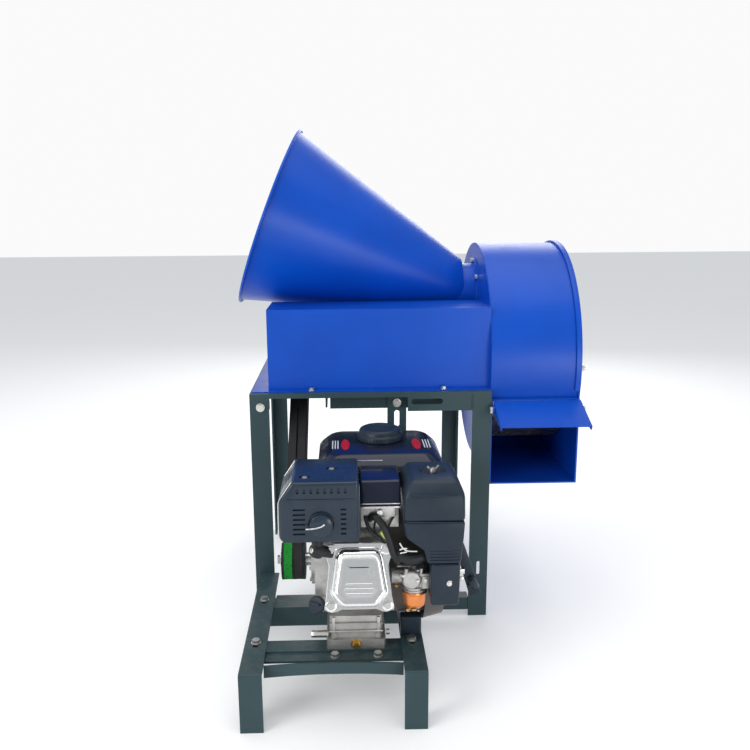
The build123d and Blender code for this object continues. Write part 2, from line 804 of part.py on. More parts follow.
with BuildPart() as hopper_cone:
    add(hopper_solid(0, drum_left))
    with BuildSketch(across(drum_left - 3, shaft_y, inlet_z)):
        Circle(hopper_flange_diameter / 2)
    extrude(amount=3)
    with BuildSketch(hopper_plane):
        with Locations((0, mouth_diameter / 2 - hopper_wall / 2)):
            Rectangle(mouth_lip_length, mouth_lip_height, align=(Align.MIN, Align.MIN))
    revolve(axis=hopper_axis)
    add(hopper_solid(hopper_wall, drum_left + 1), mode=Mode.SUBTRACT)
    with BuildSketch(across(drum_left - 3, shaft_y, inlet_z)):
        with PolarLocations(hopper_bolt_circle / 2, hopper_bolt_count, start_angle=hopper_bolt_start):
            Circle(hopper_bolt_hole_radius)
    extrude(amount=3, mode=Mode.SUBTRACT)
keep("hopper_cone", hopper_cone.part)

# ---- Drive guard --------------------------------------------------------------------------------------

guard_right = table_width
guard_top = table_height + guard_height
step_top = table_height + guard_step_height
deep_back = guard_front + guard_deep
with BuildPart() as drive_guard:
    with BuildSketch(across(guard_left, 0, 0)):
        with BuildLine():
            Polyline((guard_front, table_height), (guard_front, guard_top), (deep_back, guard_top),
                     (deep_back, step_top),
                     (guard_step_back, step_top), (guard_step_back, table_height), close=True)
        make_face()
    extrude(amount=guard_right - guard_left)
    with BuildSketch(across(guard_left + guard_wall, 0, 0)):
        with BuildLine():
            Polyline(
                (guard_front + guard_wall, table_height),
                (guard_front + guard_wall, guard_top - guard_wall),
                (deep_back - guard_wall, guard_top - guard_wall),
                (deep_back - guard_wall, step_top - guard_wall),
                (guard_step_back - guard_wall, step_top - guard_wall),
                (guard_step_back - guard_wall, table_height),
                close=True,
            )
        make_face()
    extrude(amount=guard_right - guard_left - guard_wall, mode=Mode.SUBTRACT)
    add(block(guard_left - guard_left_flange, guard_right, guard_front - guard_front_flange, guard_front,
              table_height, table_height + guard_wall))
    add(block(guard_left - guard_left_flange, guard_left, guard_front, guard_step_back, table_height,
              table_height + guard_wall))
    for screw_x in guard_screw_x:
        with BuildSketch(Plane.XY.offset(table_height + guard_wall)):
            with Locations((screw_x, guard_front - guard_front_flange / 2)):
                Circle(bolt_hole_radius - 1)
        extrude(amount=-guard_wall, mode=Mode.SUBTRACT)
keep("drive_guard", drive_guard.part)

with BuildPart() as casing_bolts:
    for screw_x in guard_screw_x:
        screw_y = guard_front - guard_front_flange / 2
        screw_plane = Plane(origin=(screw_x, screw_y, table_height + guard_wall))
        add(hex_bolt(screw_plane, small_hex, small_head, 7, 3, guard_wall + angle_wall))
    for index in range(hopper_bolt_count):
        bolt_angle = radians(hopper_bolt_start + 360 * index / hopper_bolt_count)
        bolt_y = shaft_y + hopper_bolt_circle / 2 * cos(bolt_angle)
        bolt_z = inlet_z + hopper_bolt_circle / 2 * sin(bolt_angle)
        bolt_plane = Plane(origin=(drum_left - 3, bolt_y, bolt_z), x_dir=(0, 0, 1), z_dir=(-1, 0, 0))
        add(hex_bolt(bolt_plane, small_hex, small_head, 5.6, 3, 3 + plate_wall))
    for start_x, length, head_x in (
        (drum_left, plate_wall + body_gap + flap_wall + 2, drum_left - 5),
        (shell_right - shell_wall - 3, shell_wall + body_gap + flap_wall + 3.5, flap_right + 0.5),
    ):
        with BuildSketch(across(start_x, flap_pivot_y, flap_pivot_z)):
            Circle(flap_pin_radius)
        extrude(amount=length)
        with BuildSketch(across(head_x, flap_pivot_y, flap_pivot_z)):
            RegularPolygon(6.5, 6, major_radius=False)
        extrude(amount=5)
keep("casing_bolts", casing_bolts.part)

# ---- Shaft, bearings, pulleys, belts ------------------------------------------------------------------

shaft_left = belt_x - pulley_width / 2 - 4
shaft_right = shell_right - 12
with BuildPart() as main_shaft:
    with BuildSketch(across(shaft_left, shaft_y, shaft_z)):
        Circle(shaft_diameter / 2)
    extrude(amount=shaft_right - shaft_left)
    chamfer(main_shaft.edges().filter_by(GeomType.CIRCLE), 1.5)
keep("main_shaft", main_shaft.part)

with BuildPart() as bearing_housings:
    for housing_x in (bearing_left_x, bearing_right_x):
        half = bearing_length / 2
        with BuildSketch(across(housing_x - bearing_width / 2, shaft_y, shaft_z)):
            with BuildLine():
                Polyline((-half, -bearing_centre_height), (half, -bearing_centre_height), (half, -28),
                         (38, -24),
                         (30, 0), (-30, 0), (-38, -24), (-half, -28), close=True)
            make_face()
        extrude(amount=bearing_width)
        with BuildSketch(across(housing_x - bearing_body_width / 2, shaft_y, shaft_z)):
            Circle(bearing_body_radius)
        extrude(amount=bearing_body_width)
        with BuildSketch(across(housing_x - bearing_width / 2, shaft_y, shaft_z)):
            Circle(shaft_diameter / 2 + running_clearance)
        extrude(amount=bearing_width, mode=Mode.SUBTRACT)
    fillet(bearing_housings.edges().filter_by(Axis.Z).group_by(Axis.Y)[0], 8)
    fillet(bearing_housings.edges().filter_by(Axis.Z).group_by(Axis.Y)[-1], 8)
keep("bearing_housings", bearing_housings.part)


def pulley(name, outer, bore, y, z):
    """A two-groove V-belt pulley turned from solid, with its bore along X."""
    half = groove_top_width / 2
    bottom = half - groove_depth * tan(radians(groove_half_angle))
    with BuildPart() as wheel:
        with BuildSketch(Plane(origin=(belt_x, y, z), x_dir=(1, 0, 0), z_dir=(0, -1, 0))):
            with BuildLine():
                points = [(-pulley_width / 2, bore), (-pulley_width / 2, outer)]
                for centre in (-belt_pitch / 2, belt_pitch / 2):
                    points += [(centre - half, outer), (centre - bottom, outer - groove_depth),
                               (centre + bottom, outer - groove_depth), (centre + half, outer)]
                points += [(pulley_width / 2, outer), (pulley_width / 2, bore)]
                Polyline(*points, close=True)
            make_face()
        revolve(axis=Axis((belt_x, y, z), (1, 0, 0)))
    keep(name, wheel.part)


pulley("mill_pulley", mill_pulley_radius, shaft_diameter / 2 + running_clearance, shaft_y, shaft_z)
pulley("engine_pulley", engine_pulley_radius, crank_radius + running_clearance, crank_y, crank_z)

# The belts are loops: two straight runs and an arc round each pulley, all tangent.
run_y = shaft_y - crank_y
run_z = shaft_z - crank_z
centre_distance = (run_y**2 + run_z**2) ** 0.5
run_angle = Vector(run_y, run_z).get_angle(Vector(1, 0))
belt_lap = degrees(acos((engine_pulley_radius - mill_pulley_radius) / centre_distance))


def on_circle(centre, radius, angle):
    """The point of a circle at an angle, in a belt's own plane."""
    return (centre[0] + radius * cos(radians(angle)), centre[1] + radius * sin(radians(angle)))


def belt_loop(inset):
    """The closed outline of a belt, inset from the pulleys' rims."""
    engine = (crank_y, crank_z)
    mill = (shaft_y, shaft_z)
    small = engine_pulley_radius - inset
    large = mill_pulley_radius - inset
    up, down = run_angle + belt_lap, run_angle - belt_lap
    Line(on_circle(engine, small, up), on_circle(mill, large, up))
    ThreePointArc(on_circle(mill, large, up), on_circle(mill, large, run_angle),
                  on_circle(mill, large, down))
    Line(on_circle(mill, large, down), on_circle(engine, small, down))
    ThreePointArc(on_circle(engine, small, down), on_circle(engine, small, run_angle + 180),
                  on_circle(engine, small, up))


def belt_core(x, inset):
    """A closed belt outline at one place along the shaft, as a face."""
    with BuildSketch(across(x, 0, 0)) as face:
        with BuildLine():
            belt_loop(inset)
        make_face()
    return face.sketch


base_half = belt_top_width / 2 - belt_height * tan(radians(groove_half_angle))
with BuildPart() as drive_belts:
    for belt_side in (-1, 1):
        centre_x = belt_x + belt_side * belt_pitch / 2
        with BuildPart(mode=Mode.PRIVATE) as belt:
            extrude(belt_core(centre_x - belt_top_width / 2, 0), amount=belt_top_width, dir=(1, 0, 0))
            extrude(belt_core(centre_x - base_half, belt_height), amount=2 * base_half, dir=(1, 0, 0),
                    mode=Mode.SUBTRACT)
            for end in (-1, 1):
                narrow = belt_core(centre_x + end * base_half, belt_height)
                wide = belt_core(centre_x + end * (belt_top_width / 2 + 0.01), 0.4)
                loft([narrow.face(), wide.face()], ruled=True, mode=Mode.SUBTRACT)
        add(belt.part)
keep("drive_belts", drive_belts.part)

# ---- Rotor --------------------------------------------------------------------------------------------

first_disc = rotor_centre_x - rotor_disc_pitch * (rotor_disc_count - 1) / 2
disc_centres = [first_disc + rotor_disc_pitch * index for index in range(rotor_disc_count)]
rotor_left = disc_centres[0] - rotor_disc_wall / 2
rotor_right = disc_centres[-1] + rotor_disc_wall / 2
gap_centres = [x + rotor_disc_pitch / 2 for x in disc_centres[:-1]]
gap_half = (rotor_disc_pitch - rotor_disc_wall) / 2
pin_angles = [45 + 360 / pin_count * index for index in range(pin_count)]

with BuildPart() as rotor_discs:
    for disc_x in disc_centres:
        with BuildSketch(across(disc_x - rotor_disc_wall / 2, shaft_y, shaft_z)):
            Circle(rotor_disc_radius)
        extrude(amount=rotor_disc_wall)
    with BuildSketch(across(rotor_left, shaft_y, shaft_z)):
        Circle(rotor_hub_radius)
    extrude(amount=rotor_right - rotor_left)
    with BuildSketch(across(rotor_left, shaft_y, shaft_z)):
        Circle(shaft_diameter / 2 + pin_clearance)
        with PolarLocations(pin_circle_radius, pin_count, start_angle=45):
            Circle(pin_radius + pin_clearance)
    extrude(amount=rotor_right - rotor_left, mode=Mode.SUBTRACT)
keep("rotor_discs", rotor_discs.part)

with BuildPart() as hammer_pins:
    with BuildSketch(across(rotor_left - 6, shaft_y, shaft_z)):
        with PolarLocations(pin_circle_radius, pin_count, start_angle=45):
            Circle(pin_radius)
    extrude(amount=rotor_right - rotor_left + 8)
    for head_x in (rotor_left - 6, rotor_right + 1):
        with BuildSketch(across(head_x, shaft_y, shaft_z)):
            with PolarLocations(pin_circle_radius, pin_count, start_angle=45):
                Circle(pin_radius + 3)
        extrude(amount=5)
keep("hammer_pins", hammer_pins.part)


def pin_centre(angle):
    """Where a hammer pin crosses the plane across the shaft."""
    return (shaft_y + pin_circle_radius * cos(radians(angle)),
            shaft_z + pin_circle_radius * sin(radians(angle)))


def hammer_offset(index):
    """Each pin's hammers run in their own plane of the gap, so that no two rows can meet."""
    return (index - (pin_count - 1) / 2) * hammer_plane_pitch


for index, angle in enumerate(pin_angles):
    with BuildPart() as hammers:
        for gap_x in gap_centres:
            hammer_x = gap_x + hammer_offset(index) - hammer_wall / 2
            y, z = pin_centre(angle)
            with BuildSketch(across(hammer_x, y, z)):
                with Locations((0, -hammer_length / 2)):
                    Rectangle(hammer_width, hammer_length)
                Circle(hammer_width / 2)
                Circle(pin_radius + running_clearance, mode=Mode.SUBTRACT)
            extrude(amount=hammer_wall)
    keep(f"hammers_{index + 1}", hammers.part)

with BuildPart() as hammer_spacers:
    for index, angle in enumerate(pin_angles):
        y, z = pin_centre(angle)
        for gap_x in gap_centres:
            hammer_x = gap_x + hammer_offset(index)
            reach = hammer_wall / 2 + end_play
            for low_x, high_x in ((gap_x - gap_half, hammer_x - reach),
                                  (hammer_x + reach, gap_x + gap_half)):
                with BuildSketch(across(low_x, y, z)):
                    Circle(spacer_radius)
                    Circle(pin_radius + pin_clearance, mode=Mode.SUBTRACT)
                extrude(amount=high_x - low_x)
keep("hammer_spacers", hammer_spacers.part)

# ---- Engine -------------------------------------------------------------------------------------------

lean = radians(cylinder_slope)
cylinder_plane = Plane(origin=(cylinder_x, crank_y, crank_z), x_dir=(1, 0, 0),
                       z_dir=(0, -cos(lean), sin(lean)))
case_right = case_left + case_width

dip_plane = Plane(origin=(dip_x, dip_y, dip_z), x_dir=(0, 0, 1), z_dir=(-0.45, -0.82, 0.35))
with BuildPart() as crankcase:
    foot_left = case_right - case_width + 20
    foot_top = rail_top + foot_height
    add(block(foot_left, case_right + 2, foot_front, foot_back, rail_top, foot_top, rounding=6))
    add(block(foot_left + 6, case_right - 4, foot_front + 8, foot_back - 8, foot_top, rail_top + base_height,
              rounding=8))
    with BuildSketch(across(case_left, crank_y, crank_z)):
        RectangleRounded(case_depth, case_height, case_rounding)
    extrude(amount=case_width)
    with BuildSketch(cylinder_plane):
        RectangleRounded(100, 96, 10)
    extrude(amount=cylinder_start)
    with BuildSketch(across(case_left - 8, crank_y, crank_z)):
        Circle(46)
    extrude(amount=8)
    with BuildSketch(across(case_left + case_wall, crank_y, crank_z)):
        RectangleRounded(case_depth - 2 * case_wall, case_height - 2 * case_wall, case_rounding - case_wall)
    extrude(amount=case_width - 2 * case_wall, mode=Mode.SUBTRACT)
    with BuildSketch(dip_plane.offset(-20)):
        Circle(dip_neck_radius)
    extrude(amount=34)
    with BuildSketch(dip_plane.offset(14)):
        Circle(dip_plug_radius + 0.5)
    extrude(amount=-22, mode=Mode.SUBTRACT)
    with BuildSketch(across(case_left - 20, crank_y, crank_z)):
        Circle(crank_radius + running_clearance)
    extrude(amount=case_width + 40, mode=Mode.SUBTRACT)
    for bracket_y in (crank_y + 40, crank_y - 40):
        add(block(case_left + 20, case_right - 20, bracket_y - 8, bracket_y + 8, crank_z + 75, tank_bottom))
keep("crankcase", crankcase.part)

with BuildPart() as cylinder:
    with BuildSketch(cylinder_plane.offset(cylinder_start)):
        RectangleRounded(88, 86, 12)
    extrude(amount=head_end - cylinder_start)
    fin_count = int((head_end - cylinder_start) / fin_pitch)
    for index in range(fin_count):
        with BuildSketch(cylinder_plane.offset(cylinder_start + 3 + index * fin_pitch)):
            RectangleRounded(fin_width, 104, 8)
        extrude(amount=fin_wall)
    with BuildSketch(cylinder_plane.offset(head_end - 8)):
        RectangleRounded(fin_width, 106, 10)
    extrude(amount=8)
keep("cylinder", cylinder.part)

cover_bolt_points = [(-46, 46), (46, 46), (-47, -47), (47, -47)]
with BuildPart() as valve_cover:
    with BuildSketch(cylinder_plane.offset(head_end + gasket)):
        with BuildLine():
            half_w = valve_cover_width / 2
            half_h = valve_cover_height / 2
            Polyline((-half_w + 8, half_h - 6), (half_w - 8, half_h - 6), (half_w - 4, -half_h + 6),
                     (-half_w + 4, -half_h + 6), close=True)
        make_face()
        with Locations(*cover_bolt_points):
            Circle(9)
    extrude(amount=6 - gasket)
    with BuildSketch(cylinder_plane.offset(head_end + 6)):
        with BuildLine():
            Polyline((34, 44), (-34, 44), (-38, 38), (-45, -24), (-28, -44), (28, -44), (45, -24), (38, 38),
                     close=True)
        make_face()
    extrude(amount=valve_cover_end - head_end - 6, taper=8)
    with BuildSketch(cylinder_plane.offset(head_end + 6)):
        with Locations(*cover_bolt_points):
            Circle(3.2)
    extrude(amount=-6 + gasket, mode=Mode.SUBTRACT)
keep("valve_cover", valve_cover.part)

with BuildPart() as engine_bolts:
    for bolt_x in engine_bolt_x:
        lip_plane = Plane.XY.offset(rail_top - front_rail_step).move(Location((bolt_x, lip_bolt_y, 0)))
        add(hex_bolt(lip_plane, large_hex, large_head, 8, 4, angle_wall))
    flange = cylinder_plane.offset(head_end + 6)
    for bolt_x, bolt_y in cover_bolt_points:
        cover_bolt_plane = Plane(origin=flange.from_local_coords((bolt_x, bolt_y, 0)), x_dir=(1, 0, 0),
                                 z_dir=flange.z_dir)
        add(hex_bolt(cover_bolt_plane, small_hex, 5, 7, 3, -3, nut=False))
keep("engine_bolts", engine_bolts.part)

# Crankshaft, flywheel and starter.
crank_left = belt_x - pulley_width / 2 - 1
flywheel_left = blower_left + 12
with BuildPart() as crankshaft:
    with BuildSketch(across(crank_left, crank_y, crank_z)):
        Circle(crank_radius)
    extrude(amount=flywheel_left + 44 - crank_left)
    with BuildSketch(across(crank_left - 2, crank_y, crank_z)):
        Circle(13)
    extrude(amount=2)
    with BuildSketch(across(crank_left - 8, crank_y, crank_z)):
        RegularPolygon(7, 6, major_radius=False)
    extrude(amount=6)
keep("crankshaft", crankshaft.part)

with BuildPart() as flywheel:
    with BuildSketch(across(flywheel_left, crank_y, crank_z)):
        Circle(flywheel_radius)
        Circle(crank_radius + running_clearance, mode=Mode.SUBTRACT)
    extrude(amount=flywheel_web)
    with BuildSketch(across(flywheel_left + flywheel_web, crank_y, crank_z)):
        Circle(flywheel_hub_radius)
        Circle(crank_radius + running_clearance, mode=Mode.SUBTRACT)
    extrude(amount=flywheel_fin_height + 4)
    with BuildSketch(across(flywheel_left + flywheel_web, crank_y, crank_z)):
        with PolarLocations(62, 16):
            Rectangle(40, 3)
    extrude(amount=flywheel_fin_height)
keep("flywheel", flywheel.part)

# The blower housing is a drum round the flywheel.
with BuildPart() as blower_housing:
    with BuildSketch(across(blower_left, crank_y, crank_z)):
        Circle(blower_radius)
    extrude(amount=blower_width)
    with BuildSketch(across(blower_left + 2, crank_y, crank_z)):
        Circle(blower_radius - 2)
    extrude(amount=blower_width - 4, mode=Mode.SUBTRACT)
    with BuildSketch(across(blower_left, crank_y, crank_z)):
        Circle(40)
    extrude(amount=2, mode=Mode.SUBTRACT)
    with BuildSketch(across(blower_left + blower_width - 2, crank_y, crank_z)):
        Circle(blower_radius - 16)
    extrude(amount=2, mode=Mode.SUBTRACT)
keep("blower_housing", blower_housing.part)

recoil_left = blower_left + blower_width
with BuildPart() as recoil_cover:
    with BuildSketch(across(recoil_left, crank_y, crank_z)):
        Circle(recoil_radius)
    extrude(amount=recoil_depth, taper=14)
    with BuildSketch(across(recoil_left, crank_y, crank_z)):
        Circle(recoil_radius - 4)
    extrude(amount=recoil_depth - 3, taper=14, mode=Mode.SUBTRACT)
    with BuildSketch(across(recoil_left, crank_y, crank_z)):
        with PolarLocations(recoil_radius - 46, 12):
            SlotOverall(30, 7)
    extrude(amount=recoil_depth + 1, mode=Mode.SUBTRACT)
keep("recoil_cover", recoil_cover.part)

grip_centre = (grip_x, crank_y - 30, crank_z - grip_drop)
with BuildPart() as starter_grip:
    with BuildSketch(Plane(origin=grip_centre, x_dir=(0, 1, 0), z_dir=(0.9, -0.15, 0.4))):
        RectangleRounded(34, 15, 6)
    extrude(amount=16)
keep("starter_grip", starter_grip.part)

# Muffler: a guard box with a slanted top left corner and a round outlet in front.
muffler_right = muffler_left + muffler_width
muffler_back = muffler_front + muffler_depth
with BuildPart() as muffler:
    with BuildSketch(Plane(origin=(0, muffler_back, 0), x_dir=(1, 0, 0), z_dir=(0, -1, 0))):
        with BuildLine():
            Polyline((muffler_left + 6, muffler_bottom), (muffler_right, muffler_bottom),
                     (muffler_right, muffler_top),
                     (muffler_left + 22, muffler_top), (muffler_left, muffler_top - 34),
                     (muffler_left, muffler_bottom + 8),
                     close=True)
        make_face()
    extrude(amount=muffler_depth)
    fillet(muffler.edges().filter_by(Axis.Y).group_by(Axis.Z)[-1], 4)
    wall = muffler_wall
    with BuildSketch(Plane(origin=(0, muffler_back - wall, 0), x_dir=(1, 0, 0), z_dir=(0, -1, 0))):
        with BuildLine():
            Polyline((muffler_left + 6, muffler_bottom + wall),
                     (muffler_right - wall, muffler_bottom + wall),
                     (muffler_right - wall, muffler_top - wall),
                     (muffler_left + 22 + wall, muffler_top - wall),
                     (muffler_left + wall, muffler_top - 34),
                     (muffler_left + wall, muffler_bottom + 8), close=True)
        make_face()
    extrude(amount=muffler_depth - 2 * wall, mode=Mode.SUBTRACT)
    outlet_centre = (muffler_outlet_x, muffler_front, muffler_outlet_z)
    with BuildSketch(Plane(origin=outlet_centre, x_dir=(1, 0, 0), z_dir=(0, -1, 0))):
        Circle(muffler_outlet_radius)
    extrude(amount=9, taper=30)
keep("muffler", muffler.part)

# Air cleaner: a lower case in front of the blower, a filter in the upper part and the cover over both.
cleaner_right = cleaner_left + cleaner_width
cleaner_chest_back = crank_y - recoil_radius - 5
cleaner_shelf = crank_z + recoil_radius + 7
with BuildPart() as air_cleaner_case:
    add(block(cleaner_left + 46, cleaner_right - 6, muffler_front + 4, cleaner_chest_back, cleaner_bottom,
              cleaner_seam, rounding=8))
keep("air_cleaner_case", air_cleaner_case.part)

with BuildPart() as air_cleaner_cover:
    add(block(cleaner_left, cleaner_right, muffler_front, muffler_back, cleaner_shelf, cleaner_top,
              rounding=14))
    top_edges = air_cleaner_cover.faces().sort_by(Axis.Z)[-1].edges()
    chamfer(top_edges, 11)
    add(block(cleaner_left, cleaner_right, muffler_front, cleaner_chest_back, cleaner_seam,
              cleaner_shelf + 20, rounding=14))
    with Locations((cleaner_left + cleaner_width / 2, muffler_front + muffler_depth / 2, cleaner_top)):
        Cylinder(20, 4, mode=Mode.SUBTRACT)
    add(block(cleaner_left + 3, cleaner_right - 3, muffler_front + 3, muffler_back - 3, cleaner_shelf + 2,
              cleaner_top - 15, rounding=11), mode=Mode.SUBTRACT)
    add(block(cleaner_left + 3, cleaner_right - 3, muffler_front + 3, cleaner_chest_back - 3, cleaner_seam,
              cleaner_shelf + 10, rounding=11), mode=Mode.SUBTRACT)
keep("air_cleaner_cover", air_cleaner_cover.part)

with BuildPart() as air_filter:
    filter_low = cleaner_shelf + 2
    add(block(cleaner_left + 12, cleaner_right - 12, muffler_front + 12, muffler_back - 12, filter_low,
              cleaner_top - 15, rounding=10))
    add(block(cleaner_left + 30, cleaner_right - 30, muffler_front + 30, muffler_back - 30, filter_low,
              cleaner_top - 21, rounding=6), mode=Mode.SUBTRACT)
keep("air_filter", air_filter.part)

# Carburettor between the cylinder and the air cleaner, with its float bowl below.
with BuildPart() as carburetor:
    with BuildSketch(Plane.XY.offset(bowl_z + bowl_height)):
        with Locations((bowl_x, bowl_y)):
            Circle(21)
    extrude(amount=6)
    add(block(bowl_x - 17, bowl_x + 17, bowl_y - 16, bowl_y + 18, bowl_z + bowl_height + 6, carb_top,
              rounding=5))
    with BuildSketch(across(cylinder_x + 56.5, bowl_y, bowl_z + bowl_height + 22)):
        Circle(13)
    extrude(amount=bowl_x - cylinder_x - 56.5)
keep("carburetor", carburetor.part)

with BuildPart() as carburetor_bowl:
    with BuildSketch(Plane.XY.offset(bowl_z + bowl_height)):
        with Locations((bowl_x, bowl_y)):
            Circle(20)
    extrude(amount=-bowl_height + 8, taper=5)
    with BuildSketch(Plane.XY.offset(bowl_z)):
        with Locations((bowl_x, bowl_y)):
            RegularPolygon(5, 6, major_radius=False)
    extrude(amount=8)
keep("carburetor_bowl", carburetor_bowl.part)

lever_z = carb_top + body_gap
with BuildPart() as throttle_lever:
    with BuildSketch(Plane.XY.offset(lever_z)):
        with Locations((bowl_x, bowl_y)):
            Circle(7)
        with Locations((bowl_x - 14, bowl_y)):
            SlotOverall(34, 7)
    extrude(amount=2)
keep("throttle_lever", throttle_lever.part)

# Fuel tank over the crankcase, on the case's two brackets, with its filler neck and cap.
tank_right = tank_left + tank_width
tank_back = tank_front + tank_depth
tank_top = tank_bottom + tank_height
with BuildPart() as fuel_tank:
    with BuildSketch(Plane(origin=(0, tank_back, 0), x_dir=(1, 0, 0), z_dir=(0, -1, 0))):
        with BuildLine():
            Polyline((tank_left, tank_bottom), (tank_right, tank_bottom), (tank_right - 4, tank_top - 18),
                     (tank_right - 26, tank_top), (tank_left + 26, tank_top),
                     (tank_left + 4, tank_top - 18), close=True)
        make_face()
    extrude(amount=tank_depth)
    with BuildSketch(Plane.XY.offset(tank_top)):
        with Locations((cap_x, cap_y)):
            Circle(neck_radius)
    extrude(amount=neck_height)
    with BuildSketch(Plane(origin=(0, tank_back - tank_wall, 0), x_dir=(1, 0, 0), z_dir=(0, -1, 0))):
        with BuildLine():
            w = tank_wall
            Polyline((tank_left + w, tank_bottom + w), (tank_right - w, tank_bottom + w),
                     (tank_right - 4 - w, tank_top - 18 - w / 2), (tank_right - 26 - w / 2, tank_top - w),
                     (tank_left + 26 + w / 2, tank_top - w),
                     (tank_left + 4 + w, tank_top - 18 - w / 2), close=True)
        make_face()
    extrude(amount=tank_depth - 2 * tank_wall, mode=Mode.SUBTRACT)
    with BuildSketch(Plane.XY.offset(tank_top + neck_height)):
        with Locations((cap_x, cap_y)):
            Circle(neck_radius - 3)
    extrude(amount=-neck_height - 2 * tank_wall, mode=Mode.SUBTRACT)
keep("fuel_tank", fuel_tank.part)

with BuildPart() as fuel_cap:
    with BuildSketch(Plane.XY.offset(tank_top + body_gap)):
        with Locations((cap_x, cap_y)):
            Circle(cap_radius)
    extrude(amount=cap_height)
    cap_top_edge = fuel_cap.edges().filter_by(GeomType.CIRCLE).sort_by(Axis.Z)[-1]
    fillet(cap_top_edge, 6)
    with BuildSketch(Plane.XY.offset(tank_top + body_gap)):
        with Locations((cap_x, cap_y)):
            Circle(neck_radius + 0.4)
    extrude(amount=neck_height + 0.4, mode=Mode.SUBTRACT)
keep("fuel_cap", fuel_cap.part)

# Oil dipstick in the filler at the crankcase's front left corner.
with BuildPart() as oil_dipstick:
    with BuildSketch(dip_plane.offset(14 + body_gap)):
        Circle(dip_cap_radius)
    extrude(amount=9)
    with BuildSketch(dip_plane.offset(14 + body_gap)):
        Circle(dip_plug_radius)
    extrude(amount=-14)
keep("oil_dipstick", oil_dipstick.part)

# ---- Export -------------------------------------------------------------------------------------------

lows = [min(getattr(part.bounding_box().min, axis) for part in pieces.values()) for axis in "XYZ"]
highs = [max(getattr(part.bounding_box().max, axis) for part in pieces.values()) for axis in "XYZ"]
centre = Location((-(lows[0] + highs[0]) / 2, -(lows[1] + highs[1]) / 2, -lows[2]))
print("size", [round(high - low, 1) for low, high in zip(lows, highs)], "shift", centre.position)

os.makedirs("parts", exist_ok=True)
for name, part in pieces.items():
    placed = part.moved(centre)
    placed.label = name
    export_step(placed, f"parts/{name}.step")
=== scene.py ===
"""A hammer mill on its table with a small petrol engine: finishes and fine parts over the frame."""

import math

import bmesh
import bpy
from mathutils import Matrix, Vector


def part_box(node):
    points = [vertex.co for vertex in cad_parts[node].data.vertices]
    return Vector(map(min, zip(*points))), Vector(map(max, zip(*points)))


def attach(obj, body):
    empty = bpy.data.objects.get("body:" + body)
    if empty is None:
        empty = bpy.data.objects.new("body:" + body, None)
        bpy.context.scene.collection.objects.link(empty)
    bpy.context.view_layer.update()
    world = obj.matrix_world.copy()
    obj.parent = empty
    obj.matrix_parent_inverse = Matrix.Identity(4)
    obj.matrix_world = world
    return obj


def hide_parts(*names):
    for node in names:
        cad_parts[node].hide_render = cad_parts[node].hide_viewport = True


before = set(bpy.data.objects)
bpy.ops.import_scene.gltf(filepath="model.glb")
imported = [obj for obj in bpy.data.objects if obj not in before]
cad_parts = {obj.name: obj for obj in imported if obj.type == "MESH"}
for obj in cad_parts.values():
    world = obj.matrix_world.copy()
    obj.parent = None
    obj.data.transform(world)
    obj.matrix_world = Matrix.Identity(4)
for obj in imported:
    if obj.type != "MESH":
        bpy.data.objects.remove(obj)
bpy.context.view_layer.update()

MILLIMETRE = 0.001
table_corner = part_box("leg_front_left")[0]


def at(x, y, z):
    """A place measured in millimetres from the table's front left corner at the floor."""
    return table_corner + Vector((x, y, z)) * MILLIMETRE


# ---- Camera and light -----------------------------------------------------------------------------------

scene = bpy.context.scene
scene.view_settings.view_transform = "Standard"

camera_data = bpy.data.cameras.new("camera")
camera = bpy.data.objects.new("camera", camera_data)
scene.collection.objects.link(camera)
camera_data.sensor_width = 36.0
camera_data.lens = 38.28
camera_data.shift_x = 0.0106
camera_data.shift_y = 0.0087
camera_yaw = math.radians(1.626)
camera_pitch = math.radians(12.26)
camera_roll = math.radians(-0.386)
look = Vector((math.sin(camera_yaw) * math.cos(camera_pitch),
               math.cos(camera_yaw) * math.cos(camera_pitch),
               -math.sin(camera_pitch)))
level = Vector((math.cos(camera_yaw), -math.sin(camera_yaw), 0))
upright = level.cross(look)
right = math.cos(camera_roll) * level + math.sin(camera_roll) * upright
top = -math.sin(camera_roll) * level + math.cos(camera_roll) * upright
camera.matrix_world = Matrix.Translation(at(196.6, -1597.3, 876.2)) @ Matrix(
    (right, top, -look)).transposed().to_4x4()
scene.camera = camera


def soft_light(name, place, aim, width, height, power):
    """A rectangular lamp that faces a point."""
    data = bpy.data.lights.new(name, "AREA")
    data.shape = "RECTANGLE"
    data.size = width
    data.size_y = height
    data.energy = power
    lamp = bpy.data.objects.new(name, data)
    lamp.location = place
    lamp.rotation_euler = (Vector(aim) - Vector(place)).to_track_quat("-Z", "Y").to_euler()
    scene.collection.objects.link(lamp)


soft_light("overhead", (0.1, -0.3, 3.0), (0, 0, 0.4), 2.6, 2.6, 38)
soft_light("front_left", (-2.3, -2.0, 1.7), (0, 0, 0.6), 1.5, 1.8, 46)
soft_light("front_right_low", (1.25, -2.5, 0.35), (0.26, 0.1, 0.5), 0.9, 0.8, 15)
soft_light("behind", (0.4, 2.6, 1.8), (0, 0, 0.6), 2.0, 1.6, 30)

